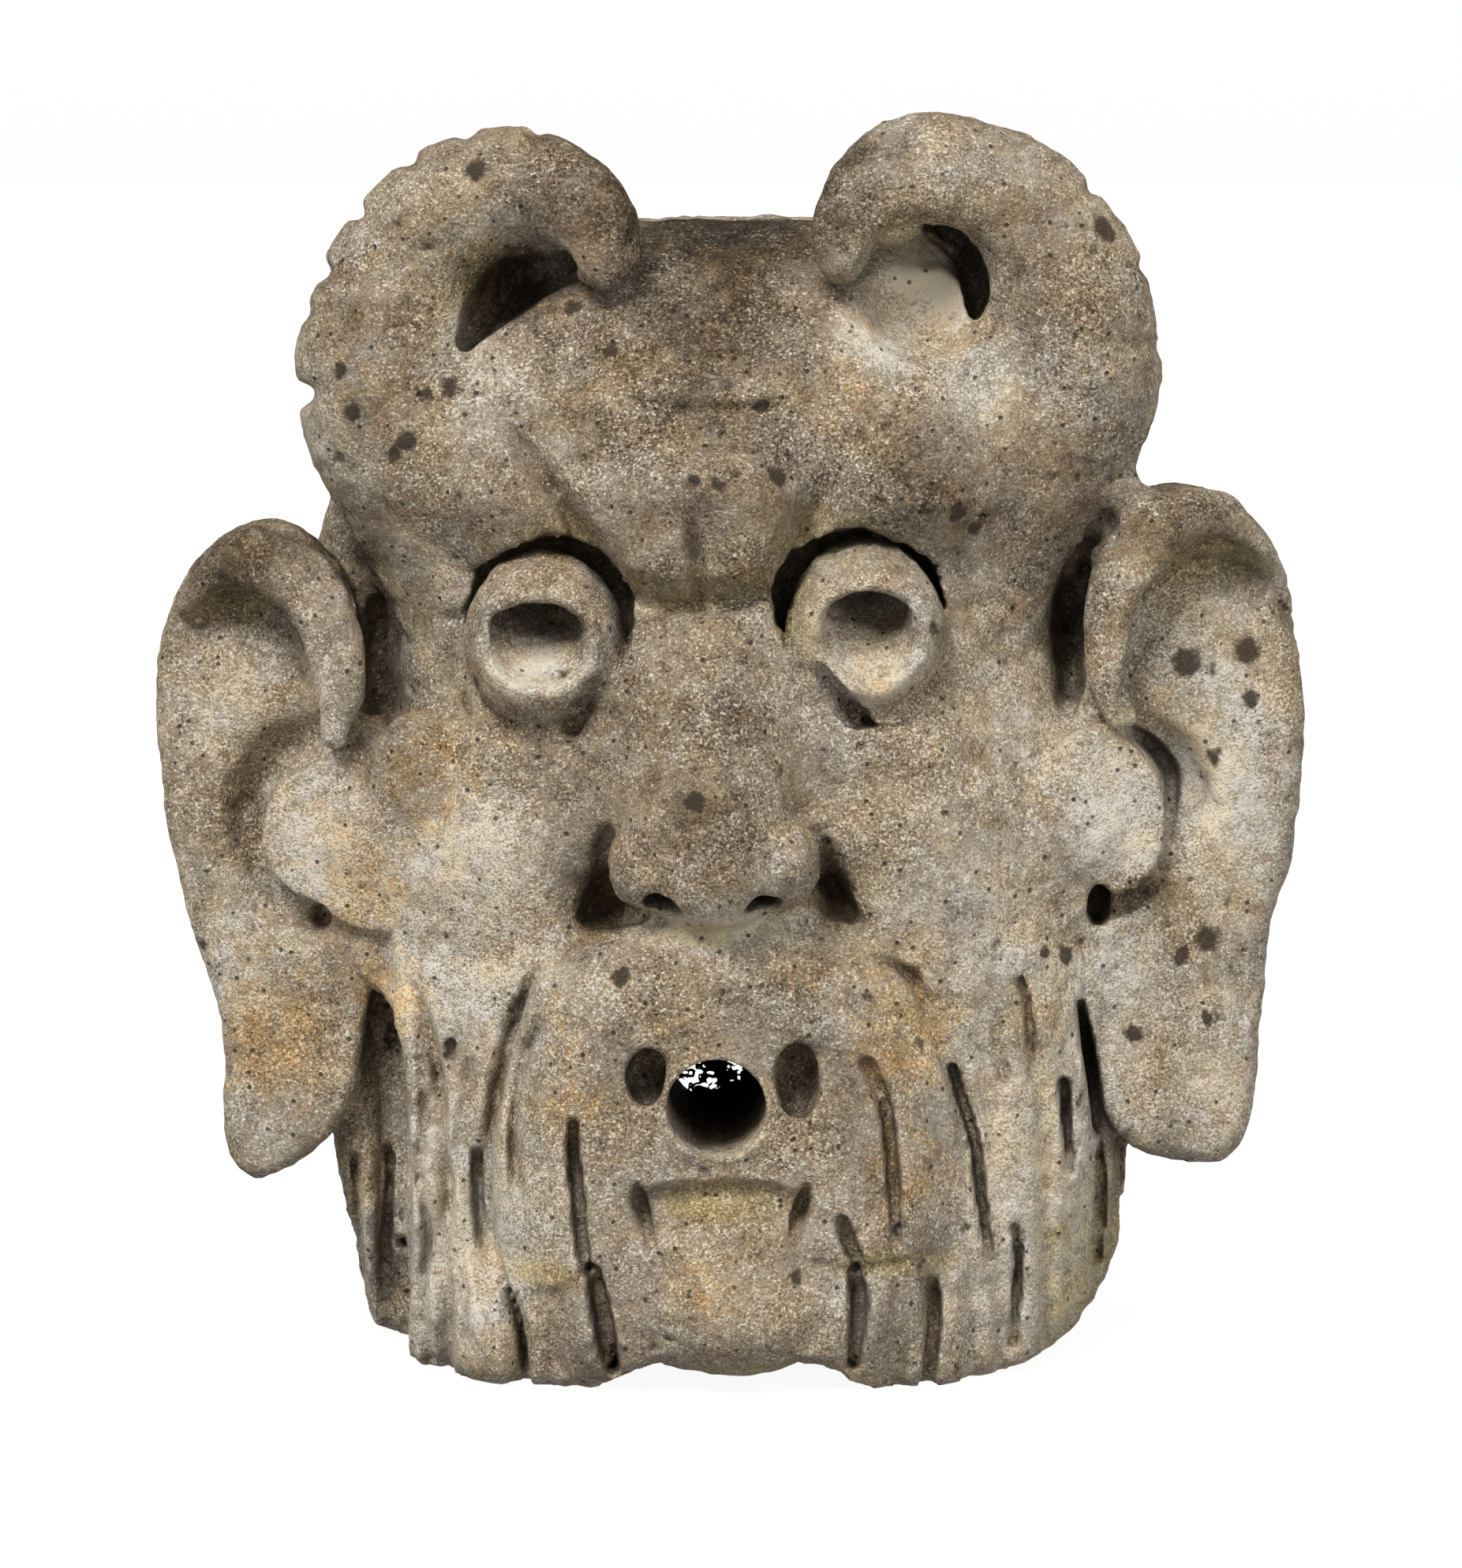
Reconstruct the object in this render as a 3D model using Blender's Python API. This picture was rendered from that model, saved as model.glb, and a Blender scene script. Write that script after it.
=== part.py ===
"""A carved limestone fountain mask: a horned, bearded grotesque head with beast's ears and a spout bored
through its open mouth. One block of stone, flat behind to stand against a wall and flat below to stand on.

Metres, +Z up. The face looks along -Y. The origin is on the underside, below the middle of the head.
The carving is set out in parts, of which there are 500 to the height, so a part is a millimetre here.
"""

import math

import bpy
import numpy as np
import openvdb

# Driving dimensions, in metres
HEIGHT = 0.500  # underside to the top of the right horn
BACK_Y = 0.105  # the flat back, behind the origin
SPOUT_BORE = 0.039
SPOUT_X = -0.002  # the mouth is a little off the middle
SPOUT_HEIGHT = 0.114
SOCKET_BORE = 0.062  # wider end of the bore behind, for the supply pipe's coupling
SOCKET_DEPTH = 0.070

# How finely the block is worked
PARTS = 500
PART = HEIGHT / PARTS
STEP = 4.0  # grid spacing of the carving, in parts
FACES = 9300  # triangles kept on the carved block
FAR = 60.0  # beyond this distance the field only says outside, in parts

BLOCK_LOW = (-250, -160, -12)
BLOCK_HIGH = (255, 118, 512)


def rotation(turn):
    """Rotation matrix for turns about X, then Y, then Z, in degrees."""
    a, b, c = (math.radians(t) for t in turn)
    about_x = np.array([[1, 0, 0], [0, math.cos(a), -math.sin(a)], [0, math.sin(a), math.cos(a)]])
    about_y = np.array([[math.cos(b), 0, math.sin(b)], [0, 1, 0], [-math.sin(b), 0, math.cos(b)]])
    about_z = np.array([[math.cos(c), -math.sin(c), 0], [math.sin(c), math.cos(c), 0], [0, 0, 1]])
    return about_z @ about_y @ about_x


def smooth_line(knots, steps=6):
    """Points along a Catmull-Rom curve through the knots, whatever a knot holds: place, radius or width."""
    knots = np.array(knots, float)
    ends = np.vstack([2 * knots[0] - knots[1], knots, 2 * knots[-1] - knots[-2]])
    share = np.linspace(0, 1, steps, endpoint=False)[:, None]
    runs = []
    for a, b, c, d in zip(ends, ends[1:], ends[2:], ends[3:]):
        runs.append(0.5 * (2 * b + (c - a) * share + (2 * a - 5 * b + 4 * c - d) * share**2
                           + (3 * b - a - 3 * c + d) * share**3))
    return np.vstack(runs + [knots[-1:]])


def ease(value):
    """0 to 1 with soft ends."""
    value = np.clip(value, 0, 1)
    return value * value * (3 - 2 * value)


class Stone:
    """The block as a field of signed distance, negative in the stone, on a grid set out in parts."""

    def __init__(self, low, high, step):
        self.low = np.array(low, float)
        self.step = step
        self.axes = [np.arange(a, b, step, dtype=np.float32) for a, b in zip(low, high)]
        self.field = np.full([len(a) for a in self.axes], FAR, np.float32)

    def window(self, low, high):
        """The part of the grid inside a box, and its coordinates, ready to broadcast."""
        cut = tuple(slice(max(0, np.searchsorted(axis, a)), max(0, np.searchsorted(axis, b)))
                    for axis, a, b in zip(self.axes, low, high))
        x, y, z = (axis[c] for axis, c in zip(self.axes, cut))
        return cut, x[:, None, None], y[None, :, None], z[None, None, :]

    def merge(self, cut, shape, blend, sign):
        """Adds (sign 1) or takes away (sign -1) a shape, with a fillet about as wide as blend."""
        old = self.field[cut] * sign
        new = np.minimum(old, shape)
        if blend:
            near = np.maximum(blend - np.abs(old - shape), 0) / blend
            new -= near * near * blend / 4
        self.field[cut] = new * sign

    def ellipsoid(self, centre, radii, turn=(0, 0, 0), blend=0.0, sign=1):
        """Adds or takes away an ellipsoid."""
        centre, radii = np.array(centre, float), np.array(radii, float)
        turned = rotation(turn).T
        reach = np.abs(turned.T) @ radii + blend + 12
        cut, x, y, z = self.window(centre - reach, centre + reach)
        x, y, z = x - centre[0], y - centre[1], z - centre[2]
        inner = outer = 0
        for row, radius in zip(turned, radii):
            along = np.float32(row[0]) * x + np.float32(row[1]) * y + np.float32(row[2]) * z
            inner = inner + (along / radius) ** 2
            outer = outer + (along / radius**2) ** 2
        inner = np.sqrt(inner)
        self.merge(cut, inner * (inner - 1) / np.sqrt(outer + 1e-9), blend, sign)

    def tube(self, knots, blend=0.0, sign=1, squash=(1, 1, 1), steps=6):
        """Adds or takes away a tapering tube through knots of x, y, z, radius. Squash flattens it along the axes."""
        line = smooth_line(knots, steps)
        scale = np.array(squash, float)
        reach = line[:, 3].max() * scale.max() + blend + 12
        cut, x, y, z = self.window(line[:, :3].min(0) - reach, line[:, :3].max(0) + reach)
        nearest = np.full(self.field[cut].shape, FAR, np.float32)
        for a, b in zip(line, line[1:]):
            near = max(a[3], b[3]) * scale.max() + blend + 12
            low = np.minimum(a[:3], b[:3]) - near
            high = np.maximum(a[:3], b[:3]) + near
            piece = tuple(slice(np.searchsorted(axis.ravel(), p), np.searchsorted(axis.ravel(), q))
                          for axis, p, q in zip((x, y, z), low, high))
            px, py, pz = (axis[tuple(piece[i] if i == j else slice(None) for j in range(3))] / scale[i]
                          for i, axis in enumerate((x, y, z)))
            start, end = a[:3] / scale, b[:3] / scale
            run = end - start
            length = max(float(run @ run), 1e-6)
            ax, ay, az = px - start[0], py - start[1], pz - start[2]
            share = np.clip((ax * run[0] + ay * run[1] + az * run[2]) / length, 0, 1)
            away = np.sqrt((ax - share * run[0]) ** 2 + (ay - share * run[1]) ** 2 + (az - share * run[2]) ** 2)
            away = (away - (a[3] + share * (b[3] - a[3]))) * scale.min()
            nearest[piece] = np.minimum(nearest[piece], away)
        self.merge(cut, nearest, blend, sign)

    def leaf(self, outline, middle_y, half_thickness, edge, blend=0.0):
        """Adds a slab with a rounded rim, from knots of x, z round its outline in the front view.
        Middle_y is a function of x and z, so the slab can curve."""
        closed = np.array([*outline, outline[0]], float)
        around = np.vstack([closed[-2], closed, closed[1]])
        line = smooth_line(around, 5)[5:-5]
        reach = blend + 12
        low, high = line.min(0) - reach, line.max(0) + reach
        cut, x, y, z = self.window((low[0], self.low[1], low[1]), (high[0], 1e4, high[1]))
        nearest = np.full((x.shape[0], 1, z.shape[2]), 1e9, np.float32)
        inside = np.zeros(nearest.shape, bool)
        for (ax, az), (bx, bz) in zip(line, line[1:]):
            run_x, run_z = bx - ax, bz - az
            length = max(run_x**2 + run_z**2, 1e-6)
            share = np.clip(((x - ax) * run_x + (z - az) * run_z) / length, 0, 1)
            nearest = np.minimum(nearest, (x - ax - share * run_x) ** 2 + (z - az - share * run_z) ** 2)
            if abs(run_z) > 1e-9:
                inside ^= ((az > z) != (bz > z)) & (x < ax + (z - az) * run_x / run_z)
        flat = np.sqrt(nearest) * np.where(inside, -1, 1).astype(np.float32) + edge
        deep = np.abs(y - middle_y(x, z)) - half_thickness + edge
        shape = np.sqrt(np.maximum(flat, 0) ** 2 + np.maximum(deep, 0) ** 2)
        self.merge(cut, shape + np.minimum(np.maximum(flat, deep), 0) - edge, blend, 1)

    def engrave(self, knots, soft=1.0, lean=0.0, behind=-20.0):
        """Sinks a groove into whatever faces the front, along knots of x, z, half-width, depth. A negative
        depth raises a ridge. Soft is 1 for a worn valley and under 1 for a drilled, steep-sided channel. Lean,
        from -1 to 1, widens it on the left or the right of its way along and narrows it on the other side."""
        line = smooth_line(knots, 5)
        reach = line[:, 2].max() * (1 + abs(lean)) + self.step
        low, high = line[:, :2].min(0) - reach, line[:, :2].max(0) + reach
        cut, x, y, z = self.window((low[0], self.low[1], low[1]), (high[0], behind, high[1]))
        depth = np.zeros((x.shape[0], 1, z.shape[2]), np.float32)
        for a, b in zip(line, line[1:]):
            run = b[:2] - a[:2]
            length = max(float(run @ run), 1e-6)
            share = np.clip(((x - a[0]) * run[0] + (z - a[1]) * run[1]) / length, 0, 1)
            away = np.sqrt((x - a[0] - share * run[0]) ** 2 + (z - a[1] - share * run[1]) ** 2)
            side = np.sign(run[0] * (z - a[1]) - run[1] * (x - a[0]))
            width, deep = a[2] + share * (b[2] - a[2]), a[3] + share * (b[3] - a[3])
            width = np.maximum(width * (1 + lean * side), 0.9 * self.step)
            here = deep * ease((1 - away / width) / soft)
            depth = np.where(np.abs(here) > np.abs(depth), here, depth)
        self.field[cut] += depth * ease((behind - y) / 25)

    def plateau(self, centre, radii, height, edge=1.0, power=2.4, lean=0.0, fade=0.0, behind=-20.0):
        """Raises a patch seen from the front, or sinks it with a negative height. Edge is the share of its
        radius over which it falls away, so 1 gives a dome and 0.2 a flat patch with a step round it. Fade
        makes the upper part stronger than the lower."""
        reach = 1.3 * max(radii)
        cut, x, y, z = self.window((centre[0] - reach, self.low[1], centre[1] - reach),
                                   (centre[0] + reach, behind, centre[1] + reach))
        c, s = math.cos(math.radians(lean)), math.sin(math.radians(lean))
        across = ((x - centre[0]) * c + (z - centre[1]) * s) / radii[0]
        along = ((z - centre[1]) * c - (x - centre[0]) * s) / radii[1]
        share = ease((1 - (np.abs(across)**power + np.abs(along)**power) ** (1 / power)) / edge)
        share = share * (1 - fade + fade * np.clip(0.5 + along / 2, 0, 1))
        self.field[cut] -= height * share * ease((behind - y) / 25)


# The block: half-width, middle, front and squareness at each height, in parts
CORE_Z = (-12, 0, 60, 100, 150, 200, 240, 290, 322, 350, 385, 408, 425, 442, 460, 512)
CORE_HALF_WIDTH = (149, 152, 161.5, 164.5, 157, 146, 142, 140, 144, 151, 157, 154, 145, 131, 115, 96)
CORE_MIDDLE_X = (7, 7, 4.5, 3.5, 4, 4, 4, 3, 2, 1, 1, 2, 3, 3, 3, 3)
CORE_FRONT_Y = (-104, -105, -104, -100, -92, -88, -86, -84, -88, -94, -88, -78, -68, -54, -36, 10)
CORE_SQUARE = (2.2, 2.25, 2.5, 2.8, 3.2, 3.3, 3.0, 2.7, 2.5, 2.4, 2.4, 2.4, 2.4, 2.4, 2.4, 2.4)
CORE_WIDEST_Y = 25
CROWN_Z = 458
CROWN_FALL = 0.0007  # how fast the crown drops to the sides


def head(stone):
    """The block of the head: a rounded front on a straight-sided back, under a low crown."""
    cut, x, y, z = stone.window((-1e4,) * 3, (1e4,) * 3)
    width, middle, front, power = (np.interp(z, CORE_Z, row).astype(np.float32)
                                   for row in (CORE_HALF_WIDTH, CORE_MIDDLE_X, CORE_FRONT_Y, CORE_SQUARE))
    across = np.abs(x - middle) / width
    forward = np.maximum(CORE_WIDEST_Y - y, 0) / (CORE_WIDEST_Y - front)
    side = ((across**power + forward**power) ** (1 / power) - 1) * np.minimum(width, CORE_WIDEST_Y - front)
    crown = z - CROWN_Z + CROWN_FALL * (x - 3) ** 2
    blend = 40.0
    near = np.maximum(blend - np.abs(side - crown), 0) / blend
    stone.field[cut] = np.maximum(side, crown) + near * near * blend / 4


def horns(stone):
    """Ram's horns that swell out of the temples, curl up and in, and lay their tips on the brow over a pocket."""
    curls = (((-112, -20, 340, 28), (-129, -32, 374, 36), (-134, -38, 402, 34), (-131, -42, 427, 31),
              (-116, -44, 453, 29), (-92, -48, 469, 26), (-68, -55, 469, 22.5), (-51, -62, 457, 18.5),
              (-46, -66, 444, 14.5)),
             ((112, -20, 345, 27), (133, -32, 376, 35), (140, -38, 402, 35), (136, -42, 430, 33),
              (120, -45, 458, 30), (97, -49, 471, 28), (75, -54, 474, 25), (58, -60, 466, 20),
              (50, -65, 453, 15.5), (49, -68, 444, 12)))
    for curl in curls:
        stone.tube(curl[:4], blend=26)
        stone.tube(curl[2:], blend=5)
    for x in (-86, 88):
        stone.ellipsoid((x, 30, 414), (54, 44, 48), blend=20)
        stone.ellipsoid((x, 18, 440), (46, 34, 34), blend=12)
    stone.tube([(-100, -54, 410, 4), (-92, -50, 423, 8), (-79, -48, 434, 10.5), (-64, -50, 440, 8)],
               sign=-1, blend=2.5, squash=(1, 3.2, 1))
    stone.ellipsoid((80, -77, 430), (27, 37, 28), sign=-1, blend=5)
    stone.tube([(64, -42, 449, 3.5), (70, -40, 453, 6), (79, -36, 455, 6), (88, -34, 452, 7.5),
                (97, -34, 444, 7), (101, -36, 432, 5.5), (100, -42, 421, 3)], sign=-1, blend=2,
               squash=(1, 4, 1))
    notches = (((-84, 425), ((-165, 389, 4), (-167, 421, 2.5), (-159, 438, 3.5), (-144, 461, 2.5),
                             (-124, 483, 3.5), (-101, 494, 3),
                             (-72, 495, 2.5))),
               ((88, 430), ((177, 406, 2), (169, 440, 2.5), (147, 471, 2))))
    for (cx, cz), places in notches:
        for x, z, size in places:
            out = math.hypot(x - cx, z - cz)
            dx, dz = (x - cx) / out, (z - cz) / out
            stone.tube([(x + 2 * dx, -80, z + 2 * dz, size), (x + 2 * dx, 10, z + 2 * dz, size)],
                       sign=-1, blend=4)
            stone.engrave([(x, z, 5, 1.6), (x - 18 * dx, z - 18 * dz, 6, 1), (x - 34 * dx, z - 34 * dz, 6, 0)])


def brow(stone):
    """The frown: masses over the eyes, folds running down to the nose, and a shield of flesh between them."""
    stone.plateau((-90, 350), (60, 40), 11, lean=-14)
    stone.plateau((80, 358), (58, 40), 10, lean=10)
    stone.plateau((-10, 340), (46, 38), 12, edge=0.5, power=2.8)
    stone.plateau((-8, 398), (80, 24), 5)
    stone.engrave([(-84, 374, 6, 4), (-73, 362, 7, 10), (-60, 343, 8, 12), (-47, 324, 9, 9)], lean=0.3)
    stone.engrave([(54, 376, 7, 2), (44, 358, 9, 8), (34, 340, 10, 11), (25, 320, 9, 9)], lean=-0.3)
    stone.engrave([(-13, 356, 4, 2), (-11, 338, 5, 6), (-9, 320, 5, 10), (-9, 306, 5, 9)])
    stone.engrave([(-36, 388, 3, 2), (-20, 385.5, 4, 4), (0, 384.5, 4, 4), (16, 385, 4, 4), (27, 388, 3, 2)],
                  lean=0.3)


def frown(stone):
    """The crease where the nose begins, tucked in under the brow."""
    stone.engrave([(-40, 314, 8, 4), (-28, 309, 9, 8), (-9, 306.5, 10, 10), (8, 308, 9, 8), (19, 313, 8, 4)],
                  lean=0.7)


def eyes(stone):
    """Staring eyes: a ball in a deep socket, with a bowl scooped in its front and a pupil drilled up into it."""
    for side, x, z, socket_x, socket_z, bowl_x, bowl_z, bowl, pupil in (
            (-1, -70.5, 293.5, -66, 303, -71.5, 293, (20, 26, 15.5), (-72, -82, 302)),
            (1, 57, 298.5, 52.5, 306.5, 57.5, 295.5, (20.5, 26, 18.5), (57.5, -82, 306))):
        stone.plateau((x + 10 * side, z - 42), (46, 24), 7)
        stone.tube([(socket_x, -140, socket_z, 29.5), (socket_x, -58, socket_z, 29.5)], sign=-1, blend=2,
                   squash=(1, 0.4, 1))
        stone.ellipsoid((x, -70, z), (33, 38, 36.5), blend=2)
        stone.ellipsoid((bowl_x, -106, bowl_z), bowl, (10, 0, 0), sign=-1, blend=6)
        stone.ellipsoid(pupil, (15.8 - side, 23, 9 + 0.5 * side), (26, 5, 0), sign=-1, blend=6)
    for notch in ([(-50, -94, 278, 2.2), (-54, -90, 270, 3.4), (-59, -84, 261, 3)],
                  [(38, -95, 282, 3), (44, -92, 274, 4.4), (53, -85, 264, 3.8)]):
        stone.tube(notch, sign=-1, blend=2, squash=(1, 2, 1))
    for groove in ([(-102, 274, 1.6, 1), (-100, 266, 2.4, 5), (-94, 258, 2, 2), (-86, 256, 2, 1)],
                   [(-84, 256, 2, 1), (-74, 254, 2.4, 3), (-64, 257, 2, 1)],
                   [(56, 262, 2, 4), (66, 260, 2.4, 4), (80, 265, 2, 2), (87, 272, 1.6, 1)],
                   [(71, 331, 2, 3), (78, 325, 2, 5), (84, 316, 1.8, 5), (88, 305, 1.5, 2)]):
        stone.engrave(groove)
    for side, x, z in ((-1, -68, 292), (1, 57, 298)):
        stone.engrave([(x + 38 * side, z + 8, 5, 2), (x + 52 * side, z + 9, 7, 1), (x + 66 * side, z + 12, 6, 0)])


def nose(stone):
    """A broad nose with drilled nostrils, and a deep hollow beside each wing."""
    stone.plateau((-6, 250), (62, 70), 10)
    stone.plateau((-8, 284), (33, 36), 8, edge=0.8, power=2.8)
    stone.tube([(-8, -66, 306, 26), (-8, -76, 276, 29), (-7, -88, 248, 31), (-5, -98, 222, 30),
                (-4, -100, 210, 27)], blend=20, squash=(1.1, 1, 1))
    for side, x in ((-1, -44), (1, 41)):
        stone.plateau((x + 8 * side, 188), (17, 30), -8, lean=-16 * side)
    for top, feet in (((-45, -94, 217, 1.5), ((-49, -79, 185, 6.5), (-41, -77, 185, 7.5), (-34, -80, 185, 6))),
                      ((39, -94, 217, 1.5), ((41, -79, 197, 5.5), (45, -79, 189, 5.5)))):
        for foot in feet:
            stone.tube([top, foot], sign=-1, blend=6, squash=(1, 2.2, 1))
    stone.engrave([(43, 197, 6, 3), (50, 187, 6, 5), (61, 176, 5, 1)])
    for side, x in ((-1, -27), (1, 22)):
        stone.ellipsoid((x, -97, 208), (18, 22, 19), blend=4)
    stone.ellipsoid((-3, -109, 205), (17, 22, 20), blend=10)
    for x in (-23, 15):
        stone.tube([(x, -134, 185, 4.5), (x, -112, 193, 6), (x, -92, 203, 6)], sign=-1, blend=1.5,
                   squash=(1.17, 1, 1))


def cheeks(stone):
    """Full cheeks, and a knob of flesh beside the left ear's root."""
    stone.plateau((-90, 216), (54, 56), 9)
    stone.plateau((84, 216), (54, 56), 9)
    stone.ellipsoid((-121, -57, 239), (19, 20, 26), blend=5)


def ears(stone):
    """Long beast's ears: a leaf of stone with a rolled upper rim, a scooped bowl, and a hollow behind a flap."""
    left = ((-162, 329), (-180, 338), (-200, 332), (-219, 312), (-228, 282), (-228, 240), (-223, 205),
            (-213, 168), (-203, 135), (-203, 98), (-199, 78), (-185, 72), (-160, 87), (-146, 108),
            (-139, 132), (-132, 162), (-134, 250),
            (-145, 302))
    right = ((164, 346), (182, 353), (206, 345), (223, 326), (231, 300), (235, 255), (232, 208), (223, 172),
             (218, 121), (215, 94), (208, 80), (196, 76), (166, 84), (152, 104), (146, 140), (136, 166),
             (140, 250),
             (149, 322))
    rolls = ([(-214, -27, 302, 6), (-203, -32, 317, 10), (-187, -37, 323, 13), (-170, -44, 315, 15),
              (-156, -50, 297, 13.5), (-151, -55, 274, 11), (-153, -59, 255, 7.5)],
             [(215, -27, 326, 6), (205, -31, 337, 8), (190, -37, 342, 11), (173, -43, 336, 15),
              (159, -47, 312, 14), (154, -50, 284, 12), (159, -54, 262, 8)])
    gaps = ([(-139, -42, 326, 4), (-139, -30, 298, 8), (-139, -32, 268, 6)],
            [(138, -42, 334, 4), (139, -30, 304, 8), (140, -32, 272, 5)])
    hollows = ([(-160, -46, 253, 6), (-172, -40, 250, 8), (-183, -35, 241, 8), (-189, -33, 228, 7.5),
                (-190, -33, 213, 7), (-187, -35, 202, 7), (-180, -38, 191, 6.5), (-170, -43, 182, 6),
                (-163, -46, 177, 5)],
               [(163, -47, 257, 3), (173, -41, 251, 6), (183, -36, 241, 9), (187, -34, 228, 9),
                (184, -37, 213, 6),
                (178, -42, 202, 3)])
    rims = ([(-217, 284, 8, 1), (-210, 294, 11, 5), (-201, 302, 14, 10), (-190, 304, 14, 13),
             (-181, 300, 13, 12), (-173, 292, 11, 9), (-166, 280, 9, 5), (-161, 269, 6, 1)],
            [(229, 290, 8, 1), (226, 301, 11, 4), (218, 311, 12, 7), (208, 319, 14, 12), (196, 322, 14, 14),
             (186, 320, 14, 13), (177, 316, 13, 12), (169, 308, 12, 11), (165, 298, 11, 9),
             (162, 288, 10, 7), (158, 272, 8, 4), (157, 260, 6, 1)])
    flaps = (((-148, 250), (-163, 243), (-174, 237), (-181, 227), (-184, 214), (-182, 202), (-175, 192),
              (-166, 186), (-156, 181), (-144, 176), (-128, 180),
              (-122, 236)),
             ((146, 259), (162, 254), (170, 245), (176, 235), (179, 224), (178, 212), (173, 199),
              (166, 190), (150, 184), (130, 184),
              (126, 240)))
    parts = zip((-1, 1), (left, right), rolls, gaps, hollows, rims, flaps)
    for side, outline, roll, gap, hollow, rim, flap in parts:
        stone.ellipsoid((140 * side, 24, 290), (28, 32, 82), blend=10)
        stone.leaf(outline, lambda x, z, side=side: 0.30 * (x * side - 140) - 27 + 0 * z, 23, 10, blend=6)
        stone.ellipsoid((132 * side, -30, 214), (46, 32, 40), (0, 0, 14 * side), blend=16)
        stone.tube(gap, sign=-1, blend=2, squash=(0.75, 3.2, 1))
        bowl, under = ((((-191, 266), (29, 42), 8), ((-191, 284), (27, 27), 0)),
                       (((195, 282), (33, 45), -24), ((194, 301), (30, 29), 0)))[side > 0]
        stone.plateau(*bowl[:2], -20, edge=0.16, power=2.2, lean=bowl[2], fade=1)
        stone.plateau(*under[:2], -14, lean=under[2], fade=1)
        stone.tube(hollow, sign=-1, blend=11, squash=(1, 1.8, 1))
        stone.leaf(flap, lambda x, z, side=side: 0.22 * (x * side - 140) - 44 + 0 * z, 13, 3, blend=1)
        stone.ellipsoid((130 * side, -34, 214), (32, 30, 32), (0, 0, 14 * side), blend=10)
        stone.tube(roll[:4], blend=2)
        stone.tube(roll[3:], blend=2)
        stone.engrave(rim, lean=0.75 * side, behind=10)
    stone.tube([(-168, -46, 183, 4.5), (-161, -44, 180, 5)], sign=-1, blend=1.5, squash=(1, 3, 1))
    stone.tube([(151, -66, 185.5, 5.5), (150, -24, 185.5, 5.5)], sign=-1, blend=1, squash=(0.8, 1, 1.3))
    stone.tube([(177, -42, 194, 4.5), (167, -44, 190, 6.5), (156, -44, 187, 7)], sign=-1, blend=1.5)
    stone.engrave([(162, 255, 3.6, 2), (169, 250, 4, 7), (176, 243, 4.5, 9), (181, 234, 4.5, 7),
                   (181, 222, 4, 4), (179, 211, 3.6, 2)], soft=0.6, behind=10)


def muzzle(stone):
    """The swollen muzzle round the spout, with pits beside the lips, a shelf below them and a ball of a chin."""
    stone.plateau((2, 86), (94, 98), 15, edge=0.28, power=2.5)
    stone.plateau((2, 132), (76, 50), 6)
    stone.ellipsoid((-1, -86, 154), (80, 30, 28), blend=14)
    stone.ellipsoid((3, -112, -8), (57, 68, 26), sign=-1, blend=3)
    stone.ellipsoid((3, -88, 33), (47, 47, 31), blend=4)
    stone.plateau((0, 72), (37, 15), -9, edge=0.35, power=3, fade=0.9)
    stone.tube([(-29.5, -140, 127, 8.5), (-29, -101, 125, 8)], sign=-1, blend=3, squash=(1, 1, 1.4))
    stone.tube([(29.5, -140, 125.5, 8), (29, -99, 124, 7.5)], sign=-1, blend=3, squash=(1, 1, 1.8))
    for side, x in ((-1, -32), (1, 32)):
        stone.engrave([(x + side, 82, 3, 5), (x, 76, 4.4, 11), (x - 2 * side, 69, 4, 10),
                       (x - 5 * side, 60, 2.6, 3)], soft=0.6)
    stone.plateau((SPOUT_X / PART, SPOUT_HEIGHT / PART), (26, 25), 3, edge=0.3)


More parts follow.
